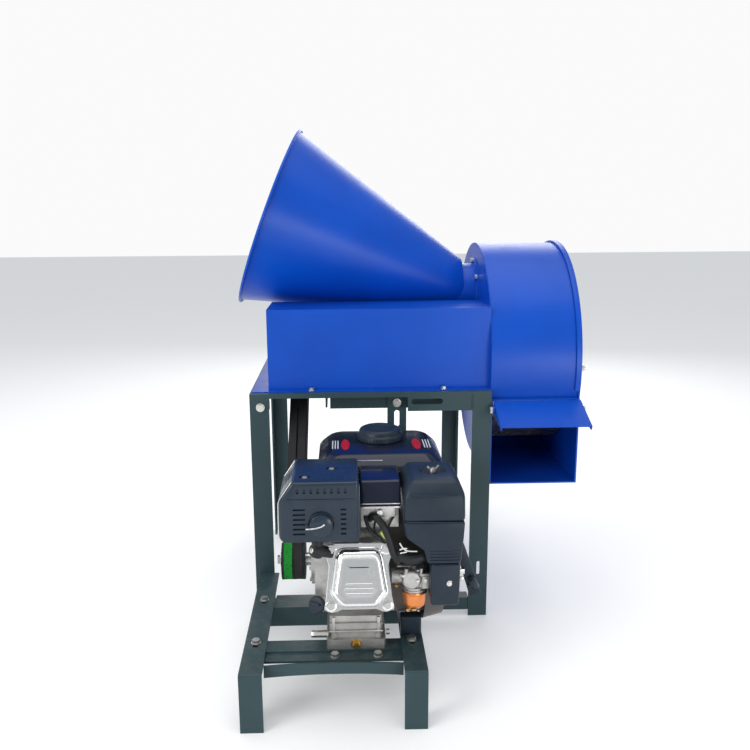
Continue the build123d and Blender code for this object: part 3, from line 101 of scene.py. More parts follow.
world = bpy.data.worlds.new("studio")
world.use_nodes = True
studio = world.node_tree
room = studio.nodes["Background"]
room.inputs["Color"].default_value = (0.92, 0.96, 1.0, 1)
room.inputs["Strength"].default_value = 0.55
backdrop = studio.nodes.new("ShaderNodeBackground")
backdrop.inputs["Color"].default_value = (1.0, 1.0, 1.0, 1)
backdrop.inputs["Strength"].default_value = 0.96
seen = studio.nodes.new("ShaderNodeLightPath")
either = studio.nodes.new("ShaderNodeMixShader")
studio.links.new(seen.outputs["Is Camera Ray"], either.inputs[0])
studio.links.new(room.outputs[0], either.inputs[1])
studio.links.new(backdrop.outputs[0], either.inputs[2])
studio.links.new(either.outputs[0], studio.nodes["World Output"].inputs["Surface"])
scene.world = world


# ---- Finishes -------------------------------------------------------------------------------------------


def group_sockets(tree, inputs, outputs):
    """Gives a node group its named inputs and outputs and returns its two end nodes."""
    for name, kind, value in inputs:
        socket = tree.interface.new_socket(name, in_out="INPUT", socket_type=kind)
        if value is not None:
            socket.default_value = value
    for name, kind in outputs:
        tree.interface.new_socket(name, in_out="OUTPUT", socket_type=kind)
    return tree.nodes.new("NodeGroupInput"), tree.nodes.new("NodeGroupOutput")


def math_node(tree, operation, first, second=None, third=None):
    """A math node fed by sockets or numbers."""
    node = tree.nodes.new("ShaderNodeMath")
    node.operation = operation
    for socket, value in zip(node.inputs, (first, second, third)):
        if value is None:
            continue
        if isinstance(value, (int, float)):
            socket.default_value = value
        else:
            tree.links.new(value, socket)
    return node.outputs[0]


def noise_node(tree, vector, scale, detail=3.0, roughness=0.5, distortion=0.0):
    """A noise texture; its scale is a number or a socket."""
    node = tree.nodes.new("ShaderNodeTexNoise")
    tree.links.new(vector, node.inputs["Vector"])
    if isinstance(scale, (int, float)):
        node.inputs["Scale"].default_value = scale
    else:
        tree.links.new(scale, node.inputs["Scale"])
    node.inputs["Detail"].default_value = detail
    node.inputs["Roughness"].default_value = roughness
    node.inputs["Distortion"].default_value = distortion
    return node.outputs["Fac"]


def blend_colours(tree, factor, first, second):
    """A colour mix of two sockets."""
    node = tree.nodes.new("ShaderNodeMix")
    node.data_type = "RGBA"
    tree.links.new(factor, node.inputs["Factor"])
    tree.links.new(first, node.inputs["A"])
    tree.links.new(second, node.inputs["B"])
    return node.outputs["Result"]


def band(tree, value, low, high):
    """A value spread from 0 at low to 1 at high."""
    node = tree.nodes.new("ShaderNodeMapRange")
    node.inputs["From Min"].default_value = low
    node.inputs["From Max"].default_value = high
    tree.links.new(value, node.inputs["Value"])
    return node.outputs["Result"]


def stretched(tree, vector, scale):
    """A vector stretched along the axes, for marks that run one way."""
    node = tree.nodes.new("ShaderNodeVectorMath")
    node.operation = "MULTIPLY"
    tree.links.new(vector, node.inputs[0])
    node.inputs[1].default_value = scale
    return node.outputs[0]


def paint_film_group():
    """Sprayed paint: faint clouding, orange peel, light scuffs and dust on what faces up."""
    tree = bpy.data.node_groups.new("paint_film", "ShaderNodeTree")
    given, made = group_sockets(tree, [
        ("Vector", "NodeSocketVector", None), ("Colour", "NodeSocketColor", None),
        ("Shade", "NodeSocketColor", None), ("Scuff Colour", "NodeSocketColor", None),
        ("Gloss", "NodeSocketFloat", 0.35), ("Peel Scale", "NodeSocketFloat", 500.0),
        ("Scuffs", "NodeSocketFloat", 0.3), ("Dust", "NodeSocketFloat", 0.15)],
        [("Colour", "NodeSocketColor"), ("Roughness", "NodeSocketFloat"), ("Height", "NodeSocketFloat")])
    place = given.outputs["Vector"]
    cloud = band(tree, noise_node(tree, place, 7.0, 3.0), 0.35, 0.7)
    colour = blend_colours(tree, cloud, given.outputs["Colour"], given.outputs["Shade"])
    scratch_place = stretched(tree, place, (30.0, 240.0, 160.0))
    scratches = band(tree, noise_node(tree, scratch_place, 1.0, 6.0, 0.62, 0.4), 0.66, 0.74)
    patches = band(tree, noise_node(tree, place, 26.0, 5.0, 0.6), 0.52, 0.72)
    scuffs = math_node(tree, "MULTIPLY", math_node(tree, "MULTIPLY", scratches, patches),
                       given.outputs["Scuffs"])
    colour = blend_colours(tree, scuffs, colour, given.outputs["Scuff Colour"])
    geometry = tree.nodes.new("ShaderNodeNewGeometry")
    split = tree.nodes.new("ShaderNodeSeparateXYZ")
    tree.links.new(geometry.outputs["Normal"], split.inputs[0])
    facing_up = band(tree, split.outputs["Z"], 0.6, 1.0)
    settled = band(tree, noise_node(tree, place, 60.0, 6.0, 0.7), 0.4, 0.75)
    dust = math_node(tree, "MULTIPLY", math_node(tree, "MULTIPLY", facing_up, settled), given.outputs["Dust"])
    dusty = tree.nodes.new("ShaderNodeRGB")
    dusty.outputs[0].default_value = (0.42, 0.41, 0.38, 1)
    colour = blend_colours(tree, dust, colour, dusty.outputs[0])
    haze = math_node(tree, "MULTIPLY", patches, 0.10)
    rough = math_node(tree, "ADD", given.outputs["Gloss"], haze)
    rough = math_node(tree, "ADD", rough, math_node(tree, "MULTIPLY", dust, 0.6))
    rough = math_node(tree, "ADD", rough, math_node(tree, "MULTIPLY", scuffs, 0.35))
    peel = noise_node(tree, place, given.outputs["Peel Scale"], 2.0)
    height = math_node(tree, "SUBTRACT", peel, math_node(tree, "MULTIPLY", scuffs, 0.6))
    tree.links.new(colour, made.inputs["Colour"])
    tree.links.new(rough, made.inputs["Roughness"])
    tree.links.new(height, made.inputs["Height"])
    return tree


def metal_grain_group():
    """Bare metal: a fine grain, drawn one way where the stretch says so, and soft staining."""
    tree = bpy.data.node_groups.new("metal_grain", "ShaderNodeTree")
    given, made = group_sockets(tree, [
        ("Vector", "NodeSocketVector", None), ("Colour", "NodeSocketColor", None),
        ("Stain", "NodeSocketColor", None), ("Gloss", "NodeSocketFloat", 0.3),
        ("Grain Scale", "NodeSocketFloat", 900.0), ("Staining", "NodeSocketFloat", 0.5)],
        [("Colour", "NodeSocketColor"), ("Roughness", "NodeSocketFloat"), ("Height", "NodeSocketFloat")])
    place = given.outputs["Vector"]
    stain = band(tree, noise_node(tree, place, 38.0, 7.0, 0.65, 0.3), 0.42, 0.78)
    stain = math_node(tree, "MULTIPLY", stain, given.outputs["Staining"])
    grain = noise_node(tree, place, given.outputs["Grain Scale"], 3.0, 0.6)
    colour = blend_colours(tree, stain, given.outputs["Colour"], given.outputs["Stain"])
    flecks = math_node(tree, "MULTIPLY", band(tree, grain, 0.35, 0.65), 0.18)
    colour = blend_colours(tree, flecks, colour, given.outputs["Stain"])
    rough = math_node(tree, "ADD", given.outputs["Gloss"], math_node(tree, "MULTIPLY", stain, 0.25))
    rough = math_node(tree, "ADD", rough, math_node(tree, "MULTIPLY", flecks, 0.5))
    tree.links.new(colour, made.inputs["Colour"])
    tree.links.new(rough, made.inputs["Roughness"])
    tree.links.new(grain, made.inputs["Height"])
    return tree


def moulded_skin_group():
    """Moulded plastic or rubber: a fine spark-eroded texture and a bloom of dust."""
    tree = bpy.data.node_groups.new("moulded_skin", "ShaderNodeTree")
    given, made = group_sockets(tree, [
        ("Vector", "NodeSocketVector", None), ("Colour", "NodeSocketColor", None),
        ("Bloom", "NodeSocketColor", None), ("Gloss", "NodeSocketFloat", 0.4),
        ("Texture Scale", "NodeSocketFloat", 1200.0), ("Bloom Amount", "NodeSocketFloat", 0.2)],
        [("Colour", "NodeSocketColor"), ("Roughness", "NodeSocketFloat"), ("Height", "NodeSocketFloat")])
    place = given.outputs["Vector"]
    skin = noise_node(tree, place, given.outputs["Texture Scale"], 2.0, 0.5)
    bloom = band(tree, noise_node(tree, place, 22.0, 5.0, 0.62), 0.4, 0.8)
    bloom = math_node(tree, "MULTIPLY", bloom, given.outputs["Bloom Amount"])
    colour = blend_colours(tree, bloom, given.outputs["Colour"], given.outputs["Bloom"])
    rough = math_node(tree, "ADD", given.outputs["Gloss"], math_node(tree, "MULTIPLY", bloom, 0.5))
    tree.links.new(colour, made.inputs["Colour"])
    tree.links.new(rough, made.inputs["Roughness"])
    tree.links.new(skin, made.inputs["Height"])
    return tree


paint_film = paint_film_group()
metal_grain = metal_grain_group()
moulded_skin = moulded_skin_group()


def finish(name, group, values, metallic=0.0, coat=0.0, coat_roughness=0.1, specular=0.2, relief=0.0002,
           stretch=None):
    """A material that takes its colour, roughness and relief from one of the finish groups."""
    material = bpy.data.materials.new(name)
    material.use_nodes = True
    tree = material.node_tree
    shader = tree.nodes["Principled BSDF"]
    shader.inputs["Metallic"].default_value = metallic
    shader.inputs["Coat Weight"].default_value = coat
    shader.inputs["Coat Roughness"].default_value = coat_roughness
    shader.inputs["Specular IOR Level"].default_value = specular
    coordinates = tree.nodes.new("ShaderNodeTexCoord")
    place = coordinates.outputs["Object"]
    if stretch:
        place = stretched(tree, place, stretch)
    skin = tree.nodes.new("ShaderNodeGroup")
    skin.node_tree = group
    tree.links.new(place, skin.inputs["Vector"])
    for key, value in values.items():
        skin.inputs[key].default_value = (*value, 1) if isinstance(value, tuple) else value
    tree.links.new(skin.outputs["Colour"], shader.inputs["Base Color"])
    tree.links.new(skin.outputs["Roughness"], shader.inputs["Roughness"])
    bump = tree.nodes.new("ShaderNodeBump")
    bump.inputs["Distance"].default_value = relief
    bump.inputs["Strength"].default_value = 1.0
    tree.links.new(skin.outputs["Height"], bump.inputs["Height"])
    tree.links.new(bump.outputs["Normal"], shader.inputs["Normal"])
    return material


def paint(name, colour, shade, scuff, gloss, scuffs, dust, peel=420.0, coat=0.15, relief=0.00012):
    """Sprayed paint in one colour."""
    return finish(name, paint_film, {
        "Colour": colour, "Shade": shade, "Scuff Colour": scuff, "Gloss": gloss, "Scuffs": scuffs,
        "Dust": dust, "Peel Scale": peel}, coat=coat, coat_roughness=0.3, specular=0.15, relief=relief)


def metal(name, colour, stain, gloss, grain, staining, relief=0.00006, stretch=None):
    """Bare or plated metal."""
    return finish(name, metal_grain, {
        "Colour": colour, "Stain": stain, "Gloss": gloss, "Grain Scale": grain, "Staining": staining},
        metallic=1.0, specular=0.5, relief=relief, stretch=stretch)


def moulded(name, colour, bloom, gloss, texture, amount, relief=0.00006, coat=0.0):
    """Moulded plastic or rubber."""
    return finish(name, moulded_skin, {
        "Colour": colour, "Bloom": bloom, "Gloss": gloss, "Texture Scale": texture, "Bloom Amount": amount},
        coat=coat, specular=0.25, relief=relief)


finishes = {
    "frame_paint": paint("slate_frame_paint", (0.036, 0.068, 0.076), (0.029, 0.056, 0.063),
                         (0.16, 0.19, 0.19), 0.36, 0.5, 0.10),
    "casing_paint": paint("blue_casing_paint", (0.0004, 0.068, 0.47), (0.0004, 0.058, 0.41),
                          (0.03, 0.16, 0.62), 0.36, 0.16, 0.02, peel=300.0, coat=0.22),
    "zinc_steel": metal("zinc_plate", (0.72, 0.71, 0.68), (0.46, 0.44, 0.38), 0.28, 500.0, 0.45),
    "bright_steel": metal("turned_steel", (0.62, 0.62, 0.63), (0.36, 0.34, 0.32), 0.22, 900.0, 0.4,
                          stretch=(6.0, 1.0, 1.0)),
    "worn_steel": metal("mill_steel", (0.33, 0.32, 0.31), (0.16, 0.12, 0.09), 0.42, 320.0, 0.7,
                        relief=0.0002),
    "cast_iron": paint("dark_cast_iron", (0.020, 0.022, 0.026), (0.014, 0.016, 0.019), (0.22, 0.22, 0.21),
                       0.48, 0.6, 0.12, peel=260.0, coat=0.0, relief=0.0004),
    "cast_aluminium": metal("cast_aluminium_skin", (0.58, 0.57, 0.55), (0.30, 0.29, 0.27), 0.40, 700.0, 0.55,
                            relief=0.00022),
    "polished_cover": metal("pressed_bright_cover", (0.86, 0.86, 0.85), (0.62, 0.61, 0.58), 0.13, 260.0, 0.3,
                            relief=0.00003),
    "tank_gloss": moulded("gloss_tank_paint", (0.007, 0.010, 0.026), (0.016, 0.022, 0.040), 0.16, 300.0, 0.25,
                          relief=0.00002, coat=0.22),
    "black_plastic": moulded("moulded_black", (0.013, 0.023, 0.036), (0.035, 0.050, 0.066), 0.34, 900.0, 0.35,
                             relief=0.00007),
    "muffler_black": moulded("heatproof_black", (0.012, 0.024, 0.040), (0.028, 0.045, 0.075), 0.26, 520.0,
                             0.3,
                             relief=0.00006, coat=0.25),
    "filter_foam": moulded("open_foam", (0.16, 0.13, 0.075), (0.28, 0.24, 0.15), 0.8, 800.0, 0.6,
                           relief=0.0006),
    "bowl_copper": metal("orange_passivate", (0.83, 0.30, 0.10), (0.55, 0.16, 0.08), 0.28, 340.0, 0.6),
    "blower_paint": paint("grey_brown_paint", (0.115, 0.102, 0.093), (0.085, 0.076, 0.070),
                          (0.30, 0.28, 0.26),
                          0.42, 0.4, 0.12),
    "lever_steel": metal("plated_lever", (0.66, 0.65, 0.60), (0.40, 0.38, 0.30), 0.26, 600.0, 0.4),
    "belt_rubber": moulded("belt_cloth_rubber", (0.012, 0.012, 0.013), (0.05, 0.05, 0.05), 0.62, 1500.0, 0.5,
                           relief=0.0002),
}

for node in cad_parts.values():
    for place in node.material_slots:
        place.material = finishes[place.material.name.split(".")[0]]

brass = metal("plain_brass", (0.72, 0.48, 0.16), (0.42, 0.26, 0.10), 0.26, 500.0, 0.4)
white_nylon = moulded("white_nylon", (0.72, 0.72, 0.69), (0.55, 0.54, 0.50), 0.38, 900.0, 0.3)
yellow_sleeve = moulded("yellow_sleeve", (0.62, 0.66, 0.18), (0.40, 0.42, 0.12), 0.45, 900.0, 0.3)
red_print = moulded("red_print", (0.48, 0.010, 0.035), (0.35, 0.01, 0.03), 0.2, 300.0, 0.2, coat=0.6)
white_print = moulded("white_print", (0.72, 0.74, 0.80), (0.60, 0.62, 0.68), 0.25, 300.0, 0.2, coat=0.6)
slot_shadow = moulded("unlit_inside", (0.003, 0.003, 0.004), (0.006, 0.006, 0.007), 0.7, 400.0, 0.2)
hose_rubber = moulded("hose_rubber", (0.014, 0.016, 0.017), (0.05, 0.055, 0.055), 0.42, 900.0, 0.4)


# ---- Making pieces --------------------------------------------------------------------------------------


def place_piece(name, mesh, material, body="frame", bevel=0.0, segments=2, smooth=True):
    """Makes an object of a finished mesh, rounds its edges and lets it ride on a body."""
    piece = bpy.data.objects.new(name, mesh)
    scene.collection.objects.link(piece)
    if material:
        mesh.materials.clear()
        mesh.materials.append(material)
    if bevel > 0:
        rounding = piece.modifiers.new("rounding", "BEVEL")
        rounding.width = bevel * MILLIMETRE
        rounding.segments = segments
        rounding.limit_method = "ANGLE"
        rounding.angle_limit = math.radians(30)
        rounding.harden_normals = False
        piece = settled_mesh(piece)
    if smooth:
        for polygon in piece.data.polygons:
            polygon.use_smooth = True
        piece.data.set_sharp_from_angle(angle=math.radians(38))
    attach(piece, body)
    return piece


def settled_mesh(piece):
    """Applies every modifier of an object to its mesh."""
    bpy.context.view_layer.update()
    graph = bpy.context.evaluated_depsgraph_get()
    mesh = bpy.data.meshes.new_from_object(piece.evaluated_get(graph))
    old = piece.data
    piece.modifiers.clear()
    piece.data = mesh
    bpy.data.meshes.remove(old)
    mesh.name = piece.name
    return piece


def mesh_of(name, bm):
    """Turns a bmesh into a mesh with its faces outwards."""
    bmesh.ops.remove_doubles(bm, verts=bm.verts, dist=1e-6)
    bmesh.ops.recalc_face_normals(bm, faces=bm.faces)
    mesh = bpy.data.meshes.new(name)
    bm.to_mesh(mesh)
    bm.free()
    return mesh


def box_mesh(name, low, high):
    """A plain box between two corners, ready for rounding."""
    bm = bmesh.new()
    bmesh.ops.create_cube(bm, size=1.0)
    low, high = at(*low), at(*high)
    middle = (low + high) / 2
    span = high - low
    for vertex in bm.verts:
        vertex.co = Vector([middle[i] + vertex.co[i] * span[i] for i in range(3)])
    return mesh_of(name, bm)


def slab_mesh(name, outline, origin, across, up, depth):
    """A flat outline of (across, up) points in millimetres, given a depth along across x up."""
    across, up = Vector(across).normalized(), Vector(up).normalized()
    through = across.cross(up) * depth * MILLIMETRE
    bm = bmesh.new()
    near = [bm.verts.new(origin + (across * a + up * b) * MILLIMETRE) for a, b in outline]
    far = [bm.verts.new(vertex.co + through) for vertex in near]
    bm.faces.new(near)
    bm.faces.new(list(reversed(far)))
    count = len(near)
    for i in range(count):
        bm.faces.new((near[i], far[i], far[(i + 1) % count], near[(i + 1) % count]))
    return mesh_of(name, bm)


def turned_mesh(name, profile, origin, axis, steps=64):
    """A profile of (radius, height) points in millimetres turned about an axis, closed at the axis."""
    turn = Vector(axis).normalized().to_track_quat("Z", "Y").to_matrix()
    bm = bmesh.new()
    rings = []
    for radius, height in profile:
        if radius <= 0:
            rings.append([bm.verts.new(origin + turn @ Vector((0, 0, height)) * MILLIMETRE)])
            continue
        ring = []
        for step in range(steps):
            angle = 2 * math.pi * step / steps
            offset = Vector((radius * math.cos(angle), radius * math.sin(angle), height))
            ring.append(bm.verts.new(origin + turn @ offset * MILLIMETRE))
        rings.append(ring)
    for lower, upper in zip(rings, rings[1:]):
        for step in range(steps):
            following = (step + 1) % steps
            corners = [lower[step % len(lower)], lower[following % len(lower)],
                       upper[following % len(upper)], upper[step % len(upper)]]
            bm.faces.new(list(dict.fromkeys(corners)))
    returns_to_start = profile[0] == profile[-1]
    if len(rings[0]) > 1 and len(rings[-1]) > 1 and not returns_to_start:
        bm.faces.new(rings[0])
        bm.faces.new(rings[-1])
    return mesh_of(name, bm)


def curve_mesh(name, curve):
    """The tube that a curve stands for, as a closed mesh."""
    holder = bpy.data.objects.new(name, curve)
    scene.collection.objects.link(holder)
    bpy.context.view_layer.update()
    mesh = bpy.data.meshes.new_from_object(holder.evaluated_get(bpy.context.evaluated_depsgraph_get()))
    bpy.data.objects.remove(holder)
    bm = bmesh.new()
    bm.from_mesh(mesh)
    bpy.data.meshes.remove(mesh)
    return mesh_of(name, bm)


def tube_mesh(name, points, radius):
    """A formed tube of one smooth run through its control points."""
    curve = bpy.data.curves.new(name, "CURVE")
    curve.dimensions = "3D"
    spline = curve.splines.new("NURBS")
    spline.points.add(len(points) - 1)
    for point, place in zip(spline.points, points):
        point.co = (*at(*place), 1)
    spline.order_u = 4 if len(points) > 3 else 3
    spline.use_endpoint_u = True
    spline.resolution_u = 10
    curve.bevel_depth = radius * MILLIMETRE
    curve.bevel_resolution = 5
    curve.use_fill_caps = True
    return curve_mesh(name, curve)


def cut_away(mesh, cutters):
    """Cuts boxes and turned shapes out of a mesh; the cut faces keep the mesh's finish."""
    piece = bpy.data.objects.new(mesh.name, mesh)
    scene.collection.objects.link(piece)
    tools = []
    for cutter in cutters:
        tool = bpy.data.objects.new("cutter", cutter)
        scene.collection.objects.link(tool)
        tools.append(tool)
        cut = piece.modifiers.new("cut", "BOOLEAN")
        cut.object = tool
        cut.operation = "DIFFERENCE"
        cut.solver = "EXACT"
    bpy.context.view_layer.update()
    result = bpy.data.meshes.new_from_object(
        piece.evaluated_get(bpy.context.evaluated_depsgraph_get()))
    result.name = mesh.name
    bpy.data.objects.remove(piece)
    for tool in tools:
        bpy.data.objects.remove(tool)
    return result


def joined_mesh(name, meshes):
    """Several meshes as one."""
    bm = bmesh.new()
    for mesh in meshes:
        bm.from_mesh(mesh)
        bpy.data.meshes.remove(mesh)
    result = bpy.data.meshes.new(name)
    bm.to_mesh(result)
    bm.free()
    return result


# ---- Repeated shapes, made with Geometry Nodes ----------------------------------------------------------


def nodes_tree(name, inputs):
    """An empty geometry tree with named inputs."""
    tree = bpy.data.node_groups.new(name, "GeometryNodeTree")
    tree.interface.new_socket("Geometry", in_out="INPUT", socket_type="NodeSocketGeometry")
    for label, kind, value in inputs:
        socket = tree.interface.new_socket(label, in_out="INPUT", socket_type=kind)
        if value is not None:
            socket.default_value = value
    tree.interface.new_socket("Geometry", in_out="OUTPUT", socket_type="NodeSocketGeometry")
    return tree, tree.nodes.new("NodeGroupInput"), tree.nodes.new("NodeGroupOutput")


def close_tree(tree, given, made, instances):
    """Realizes the instances and gives them the chosen finish."""
    real = tree.nodes.new("GeometryNodeRealizeInstances")
    coat = tree.nodes.new("GeometryNodeSetMaterial")
    tree.links.new(instances, real.inputs["Geometry"])
    tree.links.new(real.outputs["Geometry"], coat.inputs["Geometry"])
    tree.links.new(given.outputs["Finish"], coat.inputs["Material"])
    tree.links.new(coat.outputs["Geometry"], made.inputs["Geometry"])


def ring_tree():
    """A ring of equal shapes: bars or short studs that stand round an axis."""
    tree, given, made = nodes_tree("ring_of_shapes", [
        ("Count", "NodeSocketInt", 12), ("Ring Radius", "NodeSocketFloat", 0.02),
        ("Radial Size", "NodeSocketFloat", 0.002), ("Side Size", "NodeSocketFloat", 0.002),
        ("Height", "NodeSocketFloat", 0.01), ("Round", "NodeSocketBool", False),
        ("Finish", "NodeSocketMaterial", None)])
    circle = tree.nodes.new("GeometryNodeMeshCircle")
    tree.links.new(given.outputs["Count"], circle.inputs["Vertices"])
    tree.links.new(given.outputs["Ring Radius"], circle.inputs["Radius"])
    size = tree.nodes.new("ShaderNodeCombineXYZ")
    tree.links.new(given.outputs["Radial Size"], size.inputs["X"])
    tree.links.new(given.outputs["Side Size"], size.inputs["Y"])
    tree.links.new(given.outputs["Height"], size.inputs["Z"])
    bar = tree.nodes.new("GeometryNodeMeshCube")
    tree.links.new(size.outputs[0], bar.inputs["Size"])
    stud = tree.nodes.new("GeometryNodeMeshCylinder")
    stud.inputs["Vertices"].default_value = 6
    tree.links.new(given.outputs["Radial Size"], stud.inputs["Radius"])
    tree.links.new(given.outputs["Height"], stud.inputs["Depth"])
    choose = tree.nodes.new("GeometryNodeSwitch")
    choose.input_type = "GEOMETRY"
    tree.links.new(given.outputs["Round"], choose.inputs["Switch"])
    tree.links.new(bar.outputs["Mesh"], choose.inputs["False"])
    tree.links.new(stud.outputs["Mesh"], choose.inputs["True"])
    index = tree.nodes.new("GeometryNodeInputIndex")
    share = math_node(tree, "DIVIDE", index.outputs[0], given.outputs["Count"])
    angle = math_node(tree, "MULTIPLY", share, 2 * math.pi)
    turn = tree.nodes.new("ShaderNodeCombineXYZ")
    tree.links.new(angle, turn.inputs["Z"])
    instance = tree.nodes.new("GeometryNodeInstanceOnPoints")
    tree.links.new(circle.outputs["Mesh"], instance.inputs["Points"])
    tree.links.new(choose.outputs[0], instance.inputs["Instance"])
    tree.links.new(turn.outputs[0], instance.inputs["Rotation"])
    close_tree(tree, given, made, instance.outputs["Instances"])
    return tree


def bead_tree():
    """A weld bead: small overlapping scales along a path, each a little different."""
    tree, given, made = nodes_tree("weld_bead", [
        ("Spacing", "NodeSocketFloat", 0.0018), ("Bead Radius", "NodeSocketFloat", 0.0022),
        ("Seed", "NodeSocketInt", 7), ("Finish", "NodeSocketMaterial", None)])
    path = tree.nodes.new("GeometryNodeMeshToCurve")
    tree.links.new(given.outputs["Geometry"], path.inputs["Mesh"])
    points = tree.nodes.new("GeometryNodeCurveToPoints")
    points.mode = "LENGTH"
    tree.links.new(path.outputs["Curve"], points.inputs["Curve"])
    tree.links.new(given.outputs["Spacing"], points.inputs["Length"])
    scale = tree.nodes.new("GeometryNodeMeshIcoSphere")
    scale.inputs["Subdivisions"].default_value = 2
    tree.links.new(given.outputs["Bead Radius"], scale.inputs["Radius"])
    vary = tree.nodes.new("FunctionNodeRandomValue")
    vary.data_type = "FLOAT"
    low = [s for s in vary.inputs if s.name == "Min" and s.type == "VALUE"][0]
    high = [s for s in vary.inputs if s.name == "Max" and s.type == "VALUE"][0]
    low.default_value = 0.82
    high.default_value = 1.12
    tree.links.new(given.outputs["Seed"], vary.inputs["Seed"])
    sizes = [s for s in vary.outputs if s.type == "VALUE"][0]
    instance = tree.nodes.new("GeometryNodeInstanceOnPoints")
    tree.links.new(points.outputs["Points"], instance.inputs["Points"])
    tree.links.new(scale.outputs["Mesh"], instance.inputs["Instance"])
    tree.links.new(sizes, instance.inputs["Scale"])
    close_tree(tree, given, made, instance.outputs["Instances"])
    return tree


def grid_tree():
    """Rows and columns of small posts, for a perforated sheet's holes or a row of slots."""
    tree, given, made = nodes_tree("grid_of_posts", [
        ("Across", "NodeSocketInt", 6), ("Down", "NodeSocketInt", 6),
        ("Width", "NodeSocketFloat", 0.03), ("Drop", "NodeSocketFloat", 0.03),
        ("Post Width", "NodeSocketFloat", 0.002), ("Post Drop", "NodeSocketFloat", 0.002),
        ("Post Depth", "NodeSocketFloat", 0.004), ("Finish", "NodeSocketMaterial", None)])
    grid = tree.nodes.new("GeometryNodeMeshGrid")
    tree.links.new(given.outputs["Width"], grid.inputs["Size X"])
    tree.links.new(given.outputs["Drop"], grid.inputs["Size Y"])
    tree.links.new(given.outputs["Across"], grid.inputs["Vertices X"])
    tree.links.new(given.outputs["Down"], grid.inputs["Vertices Y"])
    size = tree.nodes.new("ShaderNodeCombineXYZ")
    tree.links.new(given.outputs["Post Width"], size.inputs["X"])
    tree.links.new(given.outputs["Post Drop"], size.inputs["Y"])
    tree.links.new(given.outputs["Post Depth"], size.inputs["Z"])
    post = tree.nodes.new("GeometryNodeMeshCube")
    tree.links.new(size.outputs[0], post.inputs["Size"])
    instance = tree.nodes.new("GeometryNodeInstanceOnPoints")
    tree.links.new(grid.outputs["Mesh"], instance.inputs["Points"])
    tree.links.new(post.outputs["Mesh"], instance.inputs["Instance"])
    close_tree(tree, given, made, instance.outputs["Instances"])
    return tree


ring_of_shapes = ring_tree()
weld_bead = bead_tree()
grid_of_posts = grid_tree()


def grown_mesh(name, tree, values, place, source=None):
    """Runs a geometry tree and returns its result as a plain mesh in its place."""
    holder = bpy.data.objects.new(name, source or bpy.data.meshes.new(name))
    scene.collection.objects.link(holder)
    grower = holder.modifiers.new("grow", "NODES")
    grower.node_group = tree
    for item in tree.interface.items_tree:
        if item.in_out == "INPUT" and item.name in values:
            grower[item.identifier] = values[item.name]
    bpy.context.view_layer.update()
    mesh = bpy.data.meshes.new_from_object(holder.evaluated_get(bpy.context.evaluated_depsgraph_get()))
    mesh.name = name
    holder.modifiers.clear()
    bpy.data.objects.remove(holder)
    mesh.transform(place)
    return mesh


def placed(origin, axis, spin=0.0):
    """A place whose local Z lies along an axis."""
    turn = Vector(axis).normalized().to_track_quat("Z", "Y").to_matrix().to_4x4()
    return Matrix.Translation(origin) @ turn @ Matrix.Rotation(spin, 4, "Z")


def ring(name, count, radius, radial, side, height, origin, axis, material, round_studs=False):
    """A ring of bars or studs about an axis, sizes in millimetres."""
    return grown_mesh(name, ring_of_shapes, {
        "Count": count, "Ring Radius": radius * MILLIMETRE, "Radial Size": radial * MILLIMETRE,
        "Side Size": side * MILLIMETRE, "Height": height * MILLIMETRE, "Round": round_studs,
        "Finish": material}, placed(origin, axis))


def weld(name, runs, material, body="frame", radius=2.0, seed=7):
    """Weld beads along one or more runs of points in millimetres."""
    lines = bmesh.new()
    for run in runs:
        row = [lines.verts.new(at(*point)) for point in run]
        for first, second in zip(row, row[1:]):
            lines.edges.new((first, second))
    source = bpy.data.meshes.new(name)
    lines.to_mesh(source)
    lines.free()
    mesh = grown_mesh(name, weld_bead, {
        "Spacing": radius * 0.85 * MILLIMETRE, "Bead Radius": radius * MILLIMETRE, "Seed": seed,
        "Finish": material}, Matrix.Identity(4), source)
    return place_piece(name, mesh, None, body)


# ---- Hopper and casing ----------------------------------------------------------------------------------

blue = finishes["casing_paint"]
slate = finishes["frame_paint"]
black = finishes["black_plastic"]
cast = finishes["cast_aluminium"]
zinc = finishes["zinc_steel"]

shaft_low, shaft_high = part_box("main_shaft")
shaft_y = ((shaft_low.y + shaft_high.y) / 2 - table_corner.y) / MILLIMETRE
shaft_z = ((shaft_low.z + shaft_high.z) / 2 - table_corner.z) / MILLIMETRE
plate_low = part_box("drum_left_plate")[0]
plate_x = (plate_low.x - table_corner.x) / MILLIMETRE

mouth_centre = (32.0, 259.0, 858.0)
inlet_z = shaft_z + 141.0
hopper_tilt = math.atan2(mouth_centre[2] - inlet_z, 467.0 - mouth_centre[0])
mouth_axis = Vector((math.cos(hopper_tilt), 0, -math.sin(hopper_tilt)))
lip_radius = 202.0


def hoop_mesh(name, ring_radius, wire_radius, origin, axis, around=120, wire=12):
    """A closed ring of round wire."""
    turn = Vector(axis).normalized().to_track_quat("Z", "Y").to_matrix()
    bm = bmesh.new()
    loops = []
    for step in range(around):
        angle = 2 * math.pi * step / around
        out = Vector((math.cos(angle), math.sin(angle), 0))
        row = []
        for side in range(wire):
            roll = 2 * math.pi * side / wire
            outwards = ring_radius + wire_radius * math.cos(roll)
            offset = out * outwards + Vector((0, 0, wire_radius * math.sin(roll)))
            row.append(bm.verts.new(origin + turn @ offset * MILLIMETRE))
        loops.append(row)
    for step in range(around):
        row, following = loops[step], loops[(step + 1) % around]
        for side in range(wire):
            beyond = (side + 1) % wire
            bm.faces.new((row[side], row[beyond], following[beyond], following[side]))
    return mesh_of(name, bm)


mouth_place = at(*mouth_centre) + mouth_axis * (1.5 * MILLIMETRE)
place_piece("hopper_mouth_wire", hoop_mesh("hopper_mouth_wire", lip_radius, 3.2, mouth_place, mouth_axis),
            blue)


